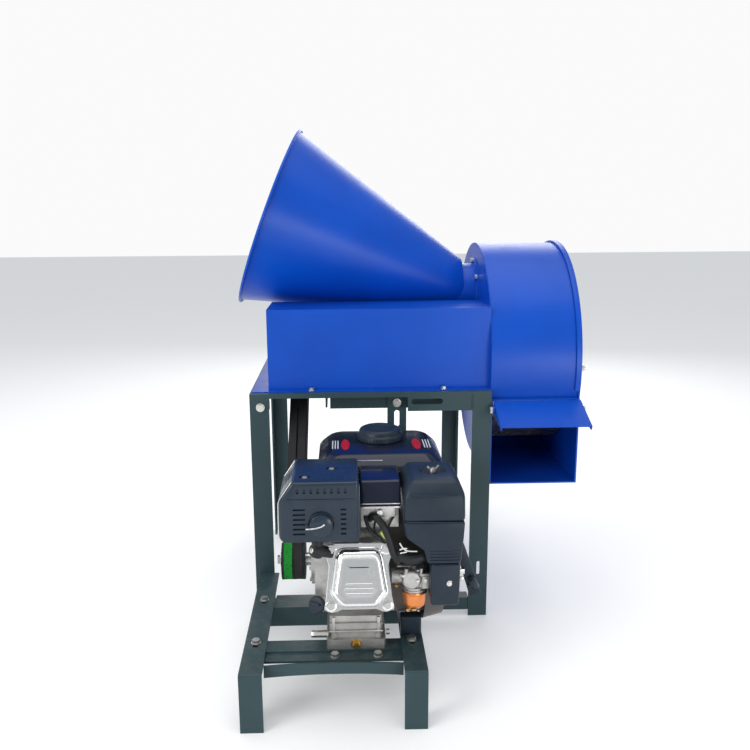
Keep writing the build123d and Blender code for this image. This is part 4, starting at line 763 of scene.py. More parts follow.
def circle_run(x, y, z, radius, start=0.0, end=360.0, count=72):
    """Points of a circle that stands across the shaft."""
    run = []
    for step in range(count + 1):
        angle = math.radians(start + (end - start) * step / count)
        run.append((x, y + radius * math.cos(angle), z + radius * math.sin(angle)))
    return run


weld("hopper_flange_weld", [circle_run(plate_x - 3.5, shaft_y, inlet_z, 61.8)], blue,
     radius=1.8)
weld("casing_edge_weld", [circle_run(plate_x + 1.0, shaft_y, shaft_z, 248.2, -88.0, 170.0, 160)], blue,
     radius=1.1, seed=11)

# A round bead runs along the cover's rim.
cover_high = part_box("drum_cover")[1]
cover_face_x = (cover_high.x - table_corner.x) / MILLIMETRE
bead_run = circle_run(cover_face_x - 3.0, shaft_y, shaft_z, 252.0, -128.0, 166.0, 160)


def path_tube(name, run, radius):
    """A thin rod through many points of a run."""
    curve = bpy.data.curves.new(name, "CURVE")
    curve.dimensions = "3D"
    spline = curve.splines.new("POLY")
    spline.points.add(len(run) - 1)
    for point, place in zip(spline.points, run):
        point.co = (*at(*place), 1)
    curve.bevel_depth = radius * MILLIMETRE
    curve.bevel_resolution = 3
    curve.use_fill_caps = True
    return curve_mesh(name, curve)


place_piece("cover_rim_bead", path_tube("cover_rim_bead", bead_run, 1.7), blue, body="casing_cover")

# ---- Table welds ----------------------------------------------------------------------------------------

table_width = 500.0
table_depth = 505.0
angle = 40.0
top_z = 505.0
weld("table_corner_welds", [
    [(angle, -0.2, top_z - 30), (angle, -0.2, top_z - 12)],
    [(table_width - angle, -0.2, top_z - 38), (table_width - angle, -0.2, top_z - 8)],
    [(angle, -0.2, 16), (angle, -0.2, 42)],
    [(table_width - angle, -0.2, 16), (table_width - angle, -0.2, 42)],
    [(angle + 1, table_depth, top_z - 38), (angle + 1, table_depth, top_z - 8)],
    [(table_width - angle - 1, table_depth, top_z - 38), (table_width - angle - 1, table_depth, top_z - 8)],
    [(-0.2, angle, top_z - 38), (-0.2, angle, top_z - 8)],
    [(table_width + 0.1, angle, top_z - 38), (table_width + 0.1, angle, top_z - 8)],
], slate, radius=1.7, seed=3)

# ---- Belts ----------------------------------------------------------------------------------------------

crank_low, crank_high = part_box("engine_pulley")
crank_y = ((crank_low.y + crank_high.y) / 2 - table_corner.y) / MILLIMETRE
crank_z = ((crank_low.z + crank_high.z) / 2 - table_corner.z) / MILLIMETRE
small_radius = (crank_high.z - crank_low.z) / 2 / MILLIMETRE
mill_low, mill_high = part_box("mill_pulley")
large_radius = (mill_high.z - mill_low.z) / 2 / MILLIMETRE
belt_middle_x = ((crank_low.x + crank_high.x) / 2 - table_corner.x) / MILLIMETRE
belt_pitch = 19.0
belt_half_top = 8.0
belt_half_base = 4.2
belt_height = 10.8


def belt_finish(name, band_colour, band_start, band_end):
    """Belt rubber with a printed band along the middle of its back, over part of its length."""
    material = finishes["belt_rubber"].copy()
    material.name = name
    tree = material.node_tree
    shader = tree.nodes["Principled BSDF"]
    old = shader.inputs["Base Color"].links[0].from_socket
    layout = tree.nodes.new("ShaderNodeUVMap")
    layout.uv_map = "belt_run"
    parts = tree.nodes.new("ShaderNodeSeparateXYZ")
    tree.links.new(layout.outputs[0], parts.inputs[0])
    off_centre = math_node(tree, "ABSOLUTE", math_node(tree, "SUBTRACT", parts.outputs["Y"], 0.5))
    inside = math_node(tree, "LESS_THAN", off_centre, 0.40)
    marks = noise_node(tree, stretched(tree, layout.outputs[0], (160.0, 4.0, 1.0)), 1.0, 2.0)
    marked = band(tree, marks, 0.60, 0.56)
    worn = math_node(tree, "MULTIPLY", inside, math_node(tree, "MULTIPLY_ADD", marked, 0.45, 0.5))
    past_start = math_node(tree, "GREATER_THAN", parts.outputs["X"], band_start)
    before_end = math_node(tree, "LESS_THAN", parts.outputs["X"], band_end)
    worn = math_node(tree, "MULTIPLY", worn, math_node(tree, "MULTIPLY", past_start, before_end))
    print_colour = tree.nodes.new("ShaderNodeRGB")
    print_colour.outputs[0].default_value = (*band_colour, 1)
    tree.links.new(blend_colours(tree, worn, old, print_colour.outputs[0]), shader.inputs["Base Color"])
    return material


def belt_mesh(name, centre_x):
    """A V-belt round both pulleys, with a map that runs along its length and across its back."""
    run_y, run_z = shaft_y - crank_y, shaft_z - crank_z
    distance = math.hypot(run_y, run_z)
    direction = math.atan2(run_z, run_y)
    lap = math.acos((small_radius - large_radius) / distance)
    path = []
    arc_steps = 28
    for step in range(arc_steps + 1):
        turn = direction + lap - 2 * lap * step / arc_steps
        path.append((shaft_y, shaft_z, large_radius, turn))
    for step in range(arc_steps + 1):
        turn = direction - lap - (2 * math.pi - 2 * lap) * step / arc_steps
        path.append((crank_y, crank_z, small_radius, turn))
    section = [(-belt_half_top, 0.4), (-belt_half_top + 0.4, 0.0), (-belt_half_top * 0.5, 0.35), (0, 0.45),
               (belt_half_top * 0.5, 0.35), (belt_half_top - 0.4, 0.0), (belt_half_top, 0.4),
               (belt_half_base, belt_height), (-belt_half_base, belt_height)]
    back_count = 7
    bm = bmesh.new()
    rows = []
    for y, z, radius, turn in path:
        out = Vector((0, math.cos(turn), math.sin(turn)))
        centre = at(centre_x, y, z)
        rows.append([bm.verts.new(centre + (Vector((x, 0, 0)) + out * (radius - drop)) * MILLIMETRE)
                     for x, drop in section])
    layout = bm.loops.layers.uv.new("belt_run")
    travelled = [0.0]
    for first, second in zip(rows, rows[1:] + rows[:1]):
        travelled.append(travelled[-1] + (second[0].co - first[0].co).length)
    count = len(section)
    for row in range(len(rows)):
        beyond = (row + 1) % len(rows)
        for side in range(count):
            following = (side + 1) % count
            face = bm.faces.new((rows[row][side], rows[row][following], rows[beyond][following],
                                 rows[beyond][side]))
            face.smooth = True
            for loop, (along, over) in zip(face.loops, ((0, side), (0, side + 1), (1, side + 1), (1, side))):
                v = over / (back_count - 1) if over < back_count else 1.5
                if side >= back_count - 1:
                    v = 1.5
                loop[layout].uv = (travelled[row + along], v)
    return mesh_of(name, bm)


belt_run = math.hypot(shaft_y - crank_y, shaft_z - crank_z) * MILLIMETRE
arc_run = math.pi * large_radius * MILLIMETRE
green_belt = place_piece("green_print_belt", belt_mesh("green_print_belt", belt_middle_x - belt_pitch / 2),
                         belt_finish("green_print_rubber", (0.004, 0.24, 0.022), arc_run + belt_run - 0.03,
                                     arc_run + belt_run + 0.16))
plain_belt = place_piece("plain_belt", belt_mesh("plain_belt", belt_middle_x + belt_pitch / 2),
                         belt_finish("plain_belt_rubber", (0.35, 0.36, 0.37), arc_run + belt_run * 0.30,
                                     arc_run + belt_run * 0.42))
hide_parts("drive_belts")
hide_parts("drive_belts")

# ---- Muffler --------------------------------------------------------------------------------------------

heat_black = finishes["muffler_black"]
muffler_front = -374.0
muffler_back = -243.0
muffler_outline = [(92, 340), (217, 340), (217, 444), (108, 444), (86, 412), (86, 348)]
outlet_x, outlet_z = 155.0, 373.0


def post_grid(name, across, down, width, drop, post_width, post_drop, depth, origin, axis, spin=0.0):
    """A grid of posts used as a cutter; sizes in millimetres."""
    return grown_mesh(name, grid_of_posts, {
        "Across": across, "Down": down, "Width": width * MILLIMETRE, "Drop": drop * MILLIMETRE,
        "Post Width": post_width * MILLIMETRE, "Post Drop": post_drop * MILLIMETRE,
        "Post Depth": depth * MILLIMETRE, "Finish": slot_shadow}, placed(origin, axis, spin))


guard_mesh = slab_mesh("muffler_guard", muffler_outline, at(0, muffler_front, 0), (1, 0, 0), (0, 0, 1),
                       muffler_front - muffler_back)
rough_guard = bpy.data.objects.new("muffler_guard", guard_mesh)
scene.collection.objects.link(rough_guard)
soften = rough_guard.modifiers.new("soften", "BEVEL")
soften.width = 4.5 * MILLIMETRE
soften.segments = 4
guard_body = settled_mesh(rough_guard).data
bpy.data.objects.remove(rough_guard)
front_axis = (0, -1, 0)
slant = Vector((-32, 0, 22)).normalized()
guard_body = cut_away(guard_body, [
    post_grid("upper_notches", 8, 1, 78, 0, 4.5, 9, 6, at(156, muffler_front, 430), front_axis),
    post_grid("left_louvres", 1, 6, 0, 42, 20, 3.2, 8, at(119, muffler_front, 377), front_axis),
    post_grid("right_louvres", 1, 6, 0, 42, 9, 3.2, 8, at(191.5, muffler_front, 377), front_axis),
    post_grid("grille_holes", 12, 6, 108, 26, 5.2, 3.4, 6, at(97, -308, 428), slant, math.radians(90)),
    turned_mesh("front_screw_well", [(0, -4), (9, -4), (10.5, 3), (0, 3)], at(128, -343, 444), (0, 0, 1), 32),
    turned_mesh("rear_screw_well", [(0, -4), (9, -4), (10.5, 3), (0, 3)], at(172, -300, 444), (0, 0, 1), 32),
    turned_mesh("outlet_well", [(0, -10), (20, -10), (21.5, 4), (0, 4)],
                at(outlet_x, muffler_front, outlet_z),
                front_axis, 48),
])
muffler_guard = place_piece("muffler_guard", guard_body, heat_black, smooth=True)
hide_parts("muffler")
place_piece("muffler_ridge", box_mesh("muffler_ridge", (98, muffler_front - 1.6, 413.5),
                                      (209, muffler_front + 2, 416.2)),
            heat_black, bevel=0.9)
place_piece("muffler_side_ridge", box_mesh("muffler_side_ridge", (214, muffler_front - 0.8, 346),
                                           (218.4, muffler_front + 14, 438)),
            heat_black, bevel=1.2)
outlet_profile = [(0, -8), (12, -7), (17, -4), (19.4, 1), (19.8, 5), (18.6, 8.5), (15.5, 10.2), (9, 11.2),
                  (0, 11.6)]
place_piece("exhaust_deflector", turned_mesh("exhaust_deflector", outlet_profile,
                                             at(outlet_x, muffler_front, outlet_z),
                                             front_axis), heat_black)


def arc_points(radius, start, end, count, depth):
    """Points of an arc on the deflector's front."""
    points = []
    for step in range(count + 1):
        turn = math.radians(start + (end - start) * step / count)
        points.append((outlet_x + radius * math.cos(turn), muffler_front - depth,
                       outlet_z + radius * math.sin(turn)))
    return points


place_piece("exhaust_lip", path_tube("exhaust_lip", [
    (outlet_x - 25, muffler_front - 9.5, outlet_z - 4.5),
    (outlet_x - 16, muffler_front - 11.2, outlet_z - 3.6),
    (outlet_x - 6, muffler_front - 12.2, outlet_z - 1.6),
    (outlet_x + 1, muffler_front - 12.4, outlet_z + 0.8),
    (outlet_x + 6, muffler_front - 12.2, outlet_z + 4)], 1.5), finishes["bright_steel"])
place_piece("exhaust_rim", path_tube("exhaust_rim", arc_points(20.6, 20, 150, 30, 3.0), 0.9), heat_black)
for screw_name, screw_x, screw_y in (("front_guard_screw", 128, -343), ("rear_guard_screw", 172, -300)):
    place_piece(screw_name, joined_mesh(screw_name, [
        turned_mesh("washer", [(0, 0), (6.2, 0), (6.2, 1.2), (0, 1.2)], at(screw_x, screw_y, 440), (0, 0, 1),
                    32),
        turned_mesh("head", [(0, 1), (4.6, 1), (4.6, 3.6), (3.8, 4.6), (0, 4.6)], at(screw_x, screw_y, 440),
                    (0, 0, 1), 6)]), zinc)
grille_edge = [(87.5, -368, 413), (107.5, -368, 443), (107.5, -249, 443), (87.5, -249, 413),
               (87.5, -368, 413)]
place_piece("grille_hem", path_tube("grille_hem", grille_edge, 1.2), finishes["lever_steel"])
side_hem = [(87.5, -368, 413), (85.4, -369, 408), (85.0, -370, 380), (85.2, -370, 352), (87.5, -370, 346),
            (91, -370, 341)]
place_piece("guard_side_hem", path_tube("guard_side_hem", side_hem, 1.2), finishes["lever_steel"])

# ---- Air cleaner ----------------------------------------------------------------------------------------

cover_left, cover_right = 290.0, 392.0
cover_seam = 372.0
cleaner_front = -374.0


def lofted_mesh(name, layers):
    """A closed shape through level rectangles of (z, left, right, front, back)."""
    bm = bmesh.new()
    rows = []
    for z, left, right_side, front, back in layers:
        rows.append([bm.verts.new(at(*corner)) for corner in (
            (left, front, z), (right_side, front, z), (right_side, back, z), (left, back, z))])
    bm.faces.new(rows[0])
    bm.faces.new(rows[-1])
    for lower, upper in zip(rows, rows[1:]):
        for side in range(4):
            following = (side + 1) % 4
            bm.faces.new((lower[side], lower[following], upper[following], upper[side]))
    return mesh_of(name, bm)


def softened(mesh, width, segments=4, angle_limit=24.0):
    """A mesh with its edges rounded, before anything is cut into it."""
    holder = bpy.data.objects.new(mesh.name, mesh)
    scene.collection.objects.link(holder)
    soft = holder.modifiers.new("soften", "BEVEL")
    soft.width = width * MILLIMETRE
    soft.segments = segments
    soft.limit_method = "ANGLE"
    soft.angle_limit = math.radians(angle_limit)
    result = settled_mesh(holder).data
    bpy.data.objects.remove(holder)
    return result


upper_cover = softened(lofted_mesh("air_cleaner_lid", [
    (cover_seam + 0.2, cover_left, cover_right, cleaner_front, -243.5),
    (419, cover_left + 1, cover_right - 1, cleaner_front + 1, -244.5),
    (440, cover_left + 13, cover_right - 13, cleaner_front + 17, -255)]), 7.0)
upper_cover = cut_away(upper_cover, [
    turned_mesh("wing_well", [(0, -5), (18, -5), (23, -1), (26, 4), (0, 4)], at(344, -306, 440), (0, 0, 1),
                64)])
lid = place_piece("air_cleaner_lid", upper_cover, black)
lower_cover = softened(lofted_mesh("air_cleaner_bowl", [
    (345.5, cover_left + 3, cover_right - 3, cleaner_front + 6, -246),
    (cover_seam - 0.2, cover_left + 0.5, cover_right - 0.5, cleaner_front + 4, -244)]), 3.0)
bowl_piece = place_piece("air_cleaner_bowl", lower_cover, black)
chest = softened(lofted_mesh("air_cleaner_chest", [
    (298, 330, cover_right - 6, cleaner_front + 2, -303.5),
    (322, 324, cover_right - 4, cleaner_front + 1.5, -303.5),
    (344, cover_left + 5, cover_right - 2, cleaner_front + 1, -303.5),
    (cover_seam - 0.2, cover_left + 0.5, cover_right - 0.5, cleaner_front + 0.5, -303.5)]), 4.0)
chest_piece = place_piece("air_cleaner_chest", chest, black)
for cover_part in (lid, bowl_piece, chest_piece):
    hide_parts("air_cleaner_cover")
place_piece("lid_front_crease", path_tube("lid_front_crease", [
    (303, cleaner_front - 0.4, 419.5), (340, cleaner_front - 0.6, 418.5), (380, cleaner_front - 0.4, 417.5)],
    0.9),
    black)
place_piece("cleaner_seam_lip", path_tube("cleaner_seam_lip", [
    (cover_left + 4, cleaner_front + 1.6, cover_seam + 1),
    (cover_right - 4, cleaner_front + 1.6, cover_seam - 1)], 1.3),
    black)
lower_case = softened(lofted_mesh("air_cleaner_lower_case", [
    (220, 337, cover_right - 8, cleaner_front + 5, -303.5),
    (252, 336, cover_right - 7, cleaner_front + 4.5, -303.5),
    (296.5, 336, cover_right - 6.5, cleaner_front + 4.2, -303.5)]), 5.0)
lower_case = place_piece("air_cleaner_lower_case", lower_case, black)
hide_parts("air_cleaner_case")
case_ribs = []
for rib_z in (303, 308.5, 314, 319.5):
    case_ribs.append(box_mesh("rib", (334, cleaner_front + 0.4, rib_z),
                              (cover_right - 8, cleaner_front + 6, rib_z + 1.8)))
place_piece("air_cleaner_ribs", joined_mesh("air_cleaner_ribs", case_ribs), black,
            bevel=0.6)
place_piece("case_screw", joined_mesh("case_screw", [
    turned_mesh("washer", [(0, 0), (5, 0), (5, 1), (0, 1)], at(367, cleaner_front + 4.6, 262), (0.2, -1, 0),
                28),
    turned_mesh("head", [(0, 1), (3.6, 1), (3.0, 3), (0, 3.4)], at(367, cleaner_front + 4.6, 262),
                (0.2, -1, 0), 28)]),
    zinc)
wing_parts = [turned_mesh("boss", [(0, 0), (6.5, 0), (5.4, 6), (3.6, 9), (0, 10)], at(344, -306, 435),
                          (0, 0, 1), 32)]
for side in (-1, 1):
    wing_parts.append(slab_mesh("wing", [(side * 3, 3), (side * 8, 5), (side * 12, 12), (side * 9, 13.5),
                                         (side * 5, 9), (side * 3, 8)][::side],
                                at(344, -304.8, 435), (0.9, 0.3, 0), (0, 0, 1), 2.4))
place_piece("cleaner_wing_nut", joined_mesh("cleaner_wing_nut", wing_parts), finishes["worn_steel"],
            bevel=0.5)

# ---- Shroud between muffler and air cleaner -------------------------------------------------------------

shroud = softened(lofted_mesh("head_shroud", [
    (392, 219.5, 287.5, -352, -246), (431, 219.5, 287.5, -330, -246)]), 4.0)
place_piece("head_shroud", shroud, finishes["tank_gloss"])
place_piece("shroud_top_lip", box_mesh("shroud_top_lip", (212, -245, 436.5), (262, -238, 439)),
            finishes["lever_steel"],
            bevel=0.8)
place_piece("shroud_front_lip", joined_mesh("shroud_front_lip", [
    box_mesh("lip", (221, -354.5, 391), (286, -351, 394)),
    box_mesh("lip", (221, -354.5, 398), (286, -352.5, 399.6))]),
    finishes["bright_steel"], bevel=0.7)
place_piece("head_plate", joined_mesh("head_plate", [
    box_mesh("plate", (220, -340, 352), (284, -336, 389)),
    box_mesh("tab", (246, -345, 372), (278, -340, 391))]), cast, bevel=1.0)
place_piece("plate_nut", turned_mesh("plate_nut", [(0, 0), (6, 0), (6, 4), (4.8, 5), (0, 5)],
                                     at(252, -345, 381),
                                     front_axis, 6), zinc, bevel=0.4)

# ---- Valve cover and cylinder head ----------------------------------------------------------------------

lean = math.radians(15.0)
head_out = Vector((0, -math.cos(lean), math.sin(lean)))
head_up = Vector((0, math.sin(lean), math.cos(lean)))
head_across = Vector((1, 0, 0))
cover_base = at(216, crank_y, crank_z) + head_out * (182.6 * MILLIMETRE)


def on_head(across, up, out):
    """A place on the cylinder head: millimetres across, up the cover and out from the gasket."""
    return cover_base + (head_across * across + head_up * up + head_out * out) * MILLIMETRE


def layered_mesh(name, layers):
    """Matching outlines at rising heights on the cylinder head, joined into one closed shape."""
    bm = bmesh.new()
    rows = [[bm.verts.new(on_head(a, b, height)) for a, b in outline] for height, outline in layers]
    bm.faces.new(rows[0])
    bm.faces.new(rows[-1])
    count = len(rows[0])
    for lower, upper in zip(rows, rows[1:]):
        for side in range(count):
            following = (side + 1) % count
            bm.faces.new((lower[side], lower[following], upper[following], upper[side]))
    return mesh_of(name, bm)


def smooth_outline(corners, radius, steps=6):
    """A polygon with each corner rounded by an arc."""
    outline = []
    count = len(corners)
    for i in range(count):
        here = Vector(corners[i])
        before = (Vector(corners[i - 1]) - here).normalized()
        after = (Vector(corners[(i + 1) % count]) - here).normalized()
        reach = radius
        start, end = here + before * reach, here + after * reach
        for step in range(steps + 1):
            t = step / steps
            outline.append(tuple((1 - t) ** 2 * start + 2 * t * (1 - t) * here + t * t * end))
    return outline


def grown(outline, amount):
    """An outline moved outwards from its middle by an amount."""
    result = []
    for a, b in outline:
        length = math.hypot(a, b)
        result.append((a * (1 + amount / length), b * (1 + amount / length)))
    return result


flange_corners = [(-56, 52), (-40, 57), (40, 57), (56, 52), (56, 38), (50, 20), (54, -18), (56, -38),
                  (59, -54),
                  (42, -59), (28, -53), (-28, -53), (-42, -59), (-59, -54), (-56, -38), (-54, -18), (-50, 20),
                  (-56, 38)]
flange = smooth_outline(flange_corners, 5.5, 4)
dome_corners = [(-31, 48), (31, 48), (38, 38), (48, -26), (30, -47), (-30, -47), (-48, -26), (-38, 38)]
dome = smooth_outline(dome_corners, 8, 6)
flange_mesh = layered_mesh("valve_cover_flange", [
    (0.0, grown(flange, -0.8)), (0.8, flange), (4.6, flange), (5.8, grown(flange, -1.2))])
dome_mesh = layered_mesh("valve_cover_dome", [
    (4.8, grown(dome, 3.2)), (6.4, grown(dome, 1.0)), (11, dome), (17, grown(dome, -0.6)),
    (21.5, grown(dome, -2.4)),
    (24.2, grown(dome, -5.2)), (25.0, grown(dome, -8.0)), (24.2, grown(dome, -9.6)),
    (23.6, grown(dome, -11.5)),
    (23.9, grown(dome, -20)), (24.1, grown(dome, -30))])
valve_cover = place_piece("bright_valve_cover", joined_mesh("bright_valve_cover", [flange_mesh, dome_mesh]),
                          finishes["polished_cover"])
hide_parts("valve_cover")
emboss = []
for bar_up in (-8, -16, -24):
    half = 25 - abs(bar_up + 16) * 0.3
    emboss.append(layered_mesh("bar", [
        (23.5, smooth_outline([(-half, bar_up + 1.8), (half, bar_up + 1.8), (half, bar_up - 1.8),
                               (-half, bar_up - 1.8)], 1.6, 4)),
        (25.0, smooth_outline([(-half + 0.8, bar_up + 1.1), (half - 0.8, bar_up + 1.1),
                               (half - 0.8, bar_up - 1.1),
                               (-half + 0.8, bar_up - 1.1)], 0.9, 4))]))
place_piece("valve_cover_bars", joined_mesh("valve_cover_bars", emboss), finishes["polished_cover"])
seat_profile = [(4.2, 5.0), (9.4, 5.0), (9.0, 6.6), (7.6, 7.2), (4.2, 7.2), (4.2, 5.0)]
for index, (across, up) in enumerate([(-46, 46), (46, 46), (-47, -47), (47, -47)]):
    seat_name = f"cover_bolt_seat_{index + 1}"
    place_piece(seat_name, turned_mesh(seat_name, seat_profile, on_head(across, up, 0), head_out, 40),
                finishes["polished_cover"])

# Spark plug cap at the head's upper left, turned down over the plug.
place_piece("spark_plug_cap", tube_mesh("spark_plug_cap", [
    (171, -352, 313), (160, -356, 317), (150, -362, 322), (146, -366, 334), (150, -362, 346),
    (160, -352, 352)], 9.5),
    hose_rubber)
place_piece("plug_cap_boot", turned_mesh("plug_cap_boot",
                                         [(0, -2), (12.5, -2), (13, 3), (11.5, 10), (9.4, 14), (0, 14)],
                                         at(150, -364, 322), (-0.75, -0.5, 0.3), 40), hose_rubber)
place_piece("plug_cap_clip", joined_mesh("plug_cap_clip", [
    turned_mesh("clip", [(0, 13.6), (5.4, 13.6), (5.4, 15.4), (3.4, 16.4), (0, 16.4)], at(150, -364, 322),
                (-0.75, -0.5, 0.3), 6)]), finishes["lever_steel"])

# Formed pipes and cables between the head, the carburettor and the air cleaner.
place_piece("breather_pipe", tube_mesh("breather_pipe", [
    (236, -330, 360), (236, -346, 377), (250, -354, 374), (263, -358, 352), (270, -360, 325),
    (276, -360, 305),
    (282, -354, 296)], 6.2), hose_rubber)
place_piece("intake_pipe", tube_mesh("intake_pipe", [
    (278, -352, 309), (292, -358, 302), (310, -358, 300), (326, -352, 304), (336, -345, 308)], 9.0),
    hose_rubber)
place_piece("choke_cable", tube_mesh("choke_cable", [
    (282, -336, 378), (270, -344, 366), (262, -350, 350), (266, -352, 330), (276, -350, 312)], 2.0),
    hose_rubber)
place_piece("stop_wire", tube_mesh("stop_wire", [
    (246, -338, 366), (240, -348, 352), (246, -350, 342), (256, -350, 334), (264, -350, 318)], 1.7),
    hose_rubber)
place_piece("coil_lead", tube_mesh("coil_lead", [
    (228, -340, 372), (230, -350, 356), (238, -352, 344), (250, -350, 338)], 3.4), hose_rubber)
place_piece("wire_sleeve", tube_mesh("wire_sleeve", [(254, -352, 349), (257, -352, 344), (261, -352, 338)],
                                     3.0),
            yellow_sleeve)
place_piece("spring_clip", joined_mesh("spring_clip", [
    tube_mesh("loop", [(284, -366, 334), (288, -368, 326), (294, -368, 320), (304, -366, 319),
                       (313, -364, 318)], 1.1),
    tube_mesh("loop", [(284, -366, 322), (290, -368, 326), (296, -368, 325)], 1.1),
    tube_mesh("loop", [(285, -366, 316), (290, -368, 318), (296, -368, 319)], 1.1)]), white_nylon)

# ---- Carburettor ----------------------------------------------------------------------------------------

carb_x, carb_y = 312.0, -322.0
carb_details = [
    turned_mesh("throat", [(0, 0), (17, 0), (17, 4), (14, 7), (0, 7)], at(carb_x - 6, carb_y - 17, 256),
                (0, -1, 0), 40),
    turned_mesh("seat", [(0, 0), (22.5, 0), (22.5, 3), (0, 3)], at(carb_x, carb_y, 232), (0, 0, 1), 48),
    box_mesh("rib", (carb_x - 26, carb_y - 21, 262), (carb_x + 24, carb_y - 15, 267)),
    box_mesh("lug", (carb_x + 12, carb_y - 22, 240), (carb_x + 24, carb_y - 10, 262)),
    turned_mesh("stud", [(0, 0), (3.6, 0), (3.6, 18), (0, 18)], at(carb_x - 18, carb_y - 18, 262),
                (0.2, -0.3, 1), 24),
    turned_mesh("stud", [(0, 0), (3, 0), (3, 14), (0, 14)], at(carb_x + 10, carb_y - 18, 264), (0.1, -0.2, 1),
                24),
]
place_piece("carburettor_bosses", joined_mesh("carburettor_bosses", carb_details), cast,
            bevel=0.8)
place_piece("carburettor_screws", joined_mesh("carburettor_screws", [
    turned_mesh("screw", [(0, 0), (3.4, 0), (3.0, 2.6), (0, 3)], at(carb_x + 18, carb_y - 22, 256),
                (0, -1, 0), 24),
    turned_mesh("screw", [(0, 0), (3.0, 0), (2.6, 2.4), (0, 2.8)], at(carb_x - 20, carb_y - 21, 264),
                (0, -1, 0), 24),
    turned_mesh("screw", [(0, 0), (3.0, 0), (2.6, 2.4), (0, 2.8)], at(carb_x + 4, carb_y - 24, 256),
                (0, -1, 0), 24)]),
    zinc)
place_piece("idle_screw", turned_mesh("idle_screw", [(0, 0), (3.2, 0), (3.2, 8), (2, 10), (0, 10)],
                                      at(282, -338, 246), (-0.3, -1, 0.2), 24), brass)
bowl_profile = [(0, -37.5), (10, -37.5), (14, -35), (18.4, -31), (19.8, -24), (20.4, -8), (22.6, -6),
                (22.6, -2.5), (21.6, -1.2), (0, -1.2)]
float_bowl = place_piece("float_bowl", turned_mesh("float_bowl", bowl_profile, at(carb_x, carb_y, 233),
                                                   (0, 0, 1), 72),
                         finishes["bowl_copper"])
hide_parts("carburetor_bowl")
place_piece("bowl_drain", joined_mesh("bowl_drain", [
    turned_mesh("nut", [(0, 0), (5.4, 0), (5.4, -6), (4.4, -7), (0, -7)], at(carb_x, carb_y, 196), (0, 0, 1),
                6),
    turned_mesh("screw", [(0, 0), (2.6, 0), (2.6, 7), (0, 7)], at(carb_x - 9, carb_y - 13, 200),
                (-0.5, -0.8, -0.2), 20)]),
    brass)

# ---- Crankcase details ----------------------------------------------------------------------------------

place_piece("case_side_bolts", ring("case_side_bolts", 8, 40, 3.6, 3.6, 5, at(129, crank_y, crank_z),
                                    (1, 0, 0), zinc,
                                    round_studs=True), None)
place_piece("case_ridges", joined_mesh("case_ridges", [
    box_mesh("ridge", (163, -300.5, 136), (259, -295, 139.5)),
    box_mesh("ridge", (163, -300.5, 152), (259, -295, 154)),
    box_mesh("web", (168, -300, 128), (174, -295, 165)),
    box_mesh("web", (248, -300, 128), (254, -295, 165))]),
    cast, bevel=1.2)
place_piece("drain_plug", joined_mesh("drain_plug", [
    turned_mesh("washer", [(0, 0), (9.5, 0), (9.5, 1.6), (0, 1.6)], at(211, -304, 116), front_axis, 36),
    turned_mesh("head", [(0, 1.5), (7.2, 1.5), (7.2, 7), (6.2, 8), (0, 8)], at(211, -304, 116), front_axis,
                6)]),
    brass)
place_piece("foot_studs", joined_mesh("foot_studs", [
    turned_mesh("stud", [(0, 0), (6.4, 0), (6.4, 7), (5.4, 8.4), (0, 8.4)], at(139, -290, 129), (-1, 0, 0),
                6),
    turned_mesh("boss", [(0, -22), (6.8, -22), (6.4, 0), (0, 0)], at(139, -290, 129), (-1, 0, 0), 32),
    turned_mesh("stud", [(0, 0), (5, 0), (5, 6), (0, 6)], at(265, -292, 132), (1, 0, 0), 6)]),
    zinc)
place_piece("case_cap_bolts", joined_mesh("case_cap_bolts", [
    turned_mesh("bolt", [(0, 0), (4.5, 0), (4.5, 4), (0, 4)], at(bolt_x, -299, 130), front_axis, 6)
    for bolt_x in (172, 250)]), zinc)

# ---- Dipstick cap, fuel cap, tank -----------------------------------------------------------------------

dip_axis = Vector((-0.45, -0.82, 0.35)).normalized()
dip_origin = at(150, -272, 178) + dip_axis * (14.4 * MILLIMETRE)
cap_profile = [(0, -14), (8.2, -14), (8.2, 0), (14.4, 0), (15, 1), (15, 7.5), (13.8, 9), (9, 9.4), (0, 9.4)]
dip_cap = place_piece("dipstick_cap", joined_mesh("dipstick_cap", [
    turned_mesh("cap", cap_profile, dip_origin, dip_axis, 64),
    slab_mesh("grip", [(-10, 9), (10, 9), (9, 15), (-9, 15)], dip_origin + Vector((0, 0, 0)),
              dip_axis.cross(Vector((0, 0, 1))).normalized(), dip_axis, 4),
    ring("knurl", 24, 14.8, 1.6, 1.6, 7, dip_origin + dip_axis * (4.2 * MILLIMETRE), dip_axis, black)]),
    black, body="dipstick", bevel=0.0)
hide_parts("oil_dipstick")

cap_low, cap_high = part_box("fuel_cap")
cap_middle = (cap_low + cap_high) / 2
cap_foot = Vector((cap_middle.x, cap_middle.y, cap_low.z))
cap_rise = (cap_high.z - cap_low.z) / MILLIMETRE
cap_outline = [(25, 0), (43.6, 0), (44.8, 1.5), (44.8, 8), (43, 10.5), (41, 12), (40, cap_rise - 5),
               (38, cap_rise - 2), (34.5, cap_rise - 0.3), (30, cap_rise), (27, cap_rise - 1.6),
               (23, cap_rise - 2.6), (0, cap_rise - 3.0)]
fuel_cap = place_piece("ribbed_fuel_cap", joined_mesh("ribbed_fuel_cap", [
    turned_mesh("cap", [(0, 9)] + [(24.6, 8.6)] + cap_outline, cap_foot, (0, 0, 1), 96),
    ring("ribs", 40, 44.0, 2.2, 2.6, 8, cap_foot + Vector((0, 0, 4.8 * MILLIMETRE)), (0, 0, 1), black)]),
    black, body="tank_cap")
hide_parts("fuel_cap")

tank_gloss = finishes["tank_gloss"]
tank_left, tank_right = 145.0, 377.0
tank_front, tank_back = -235.0, -27.0
tank_top = 440.0


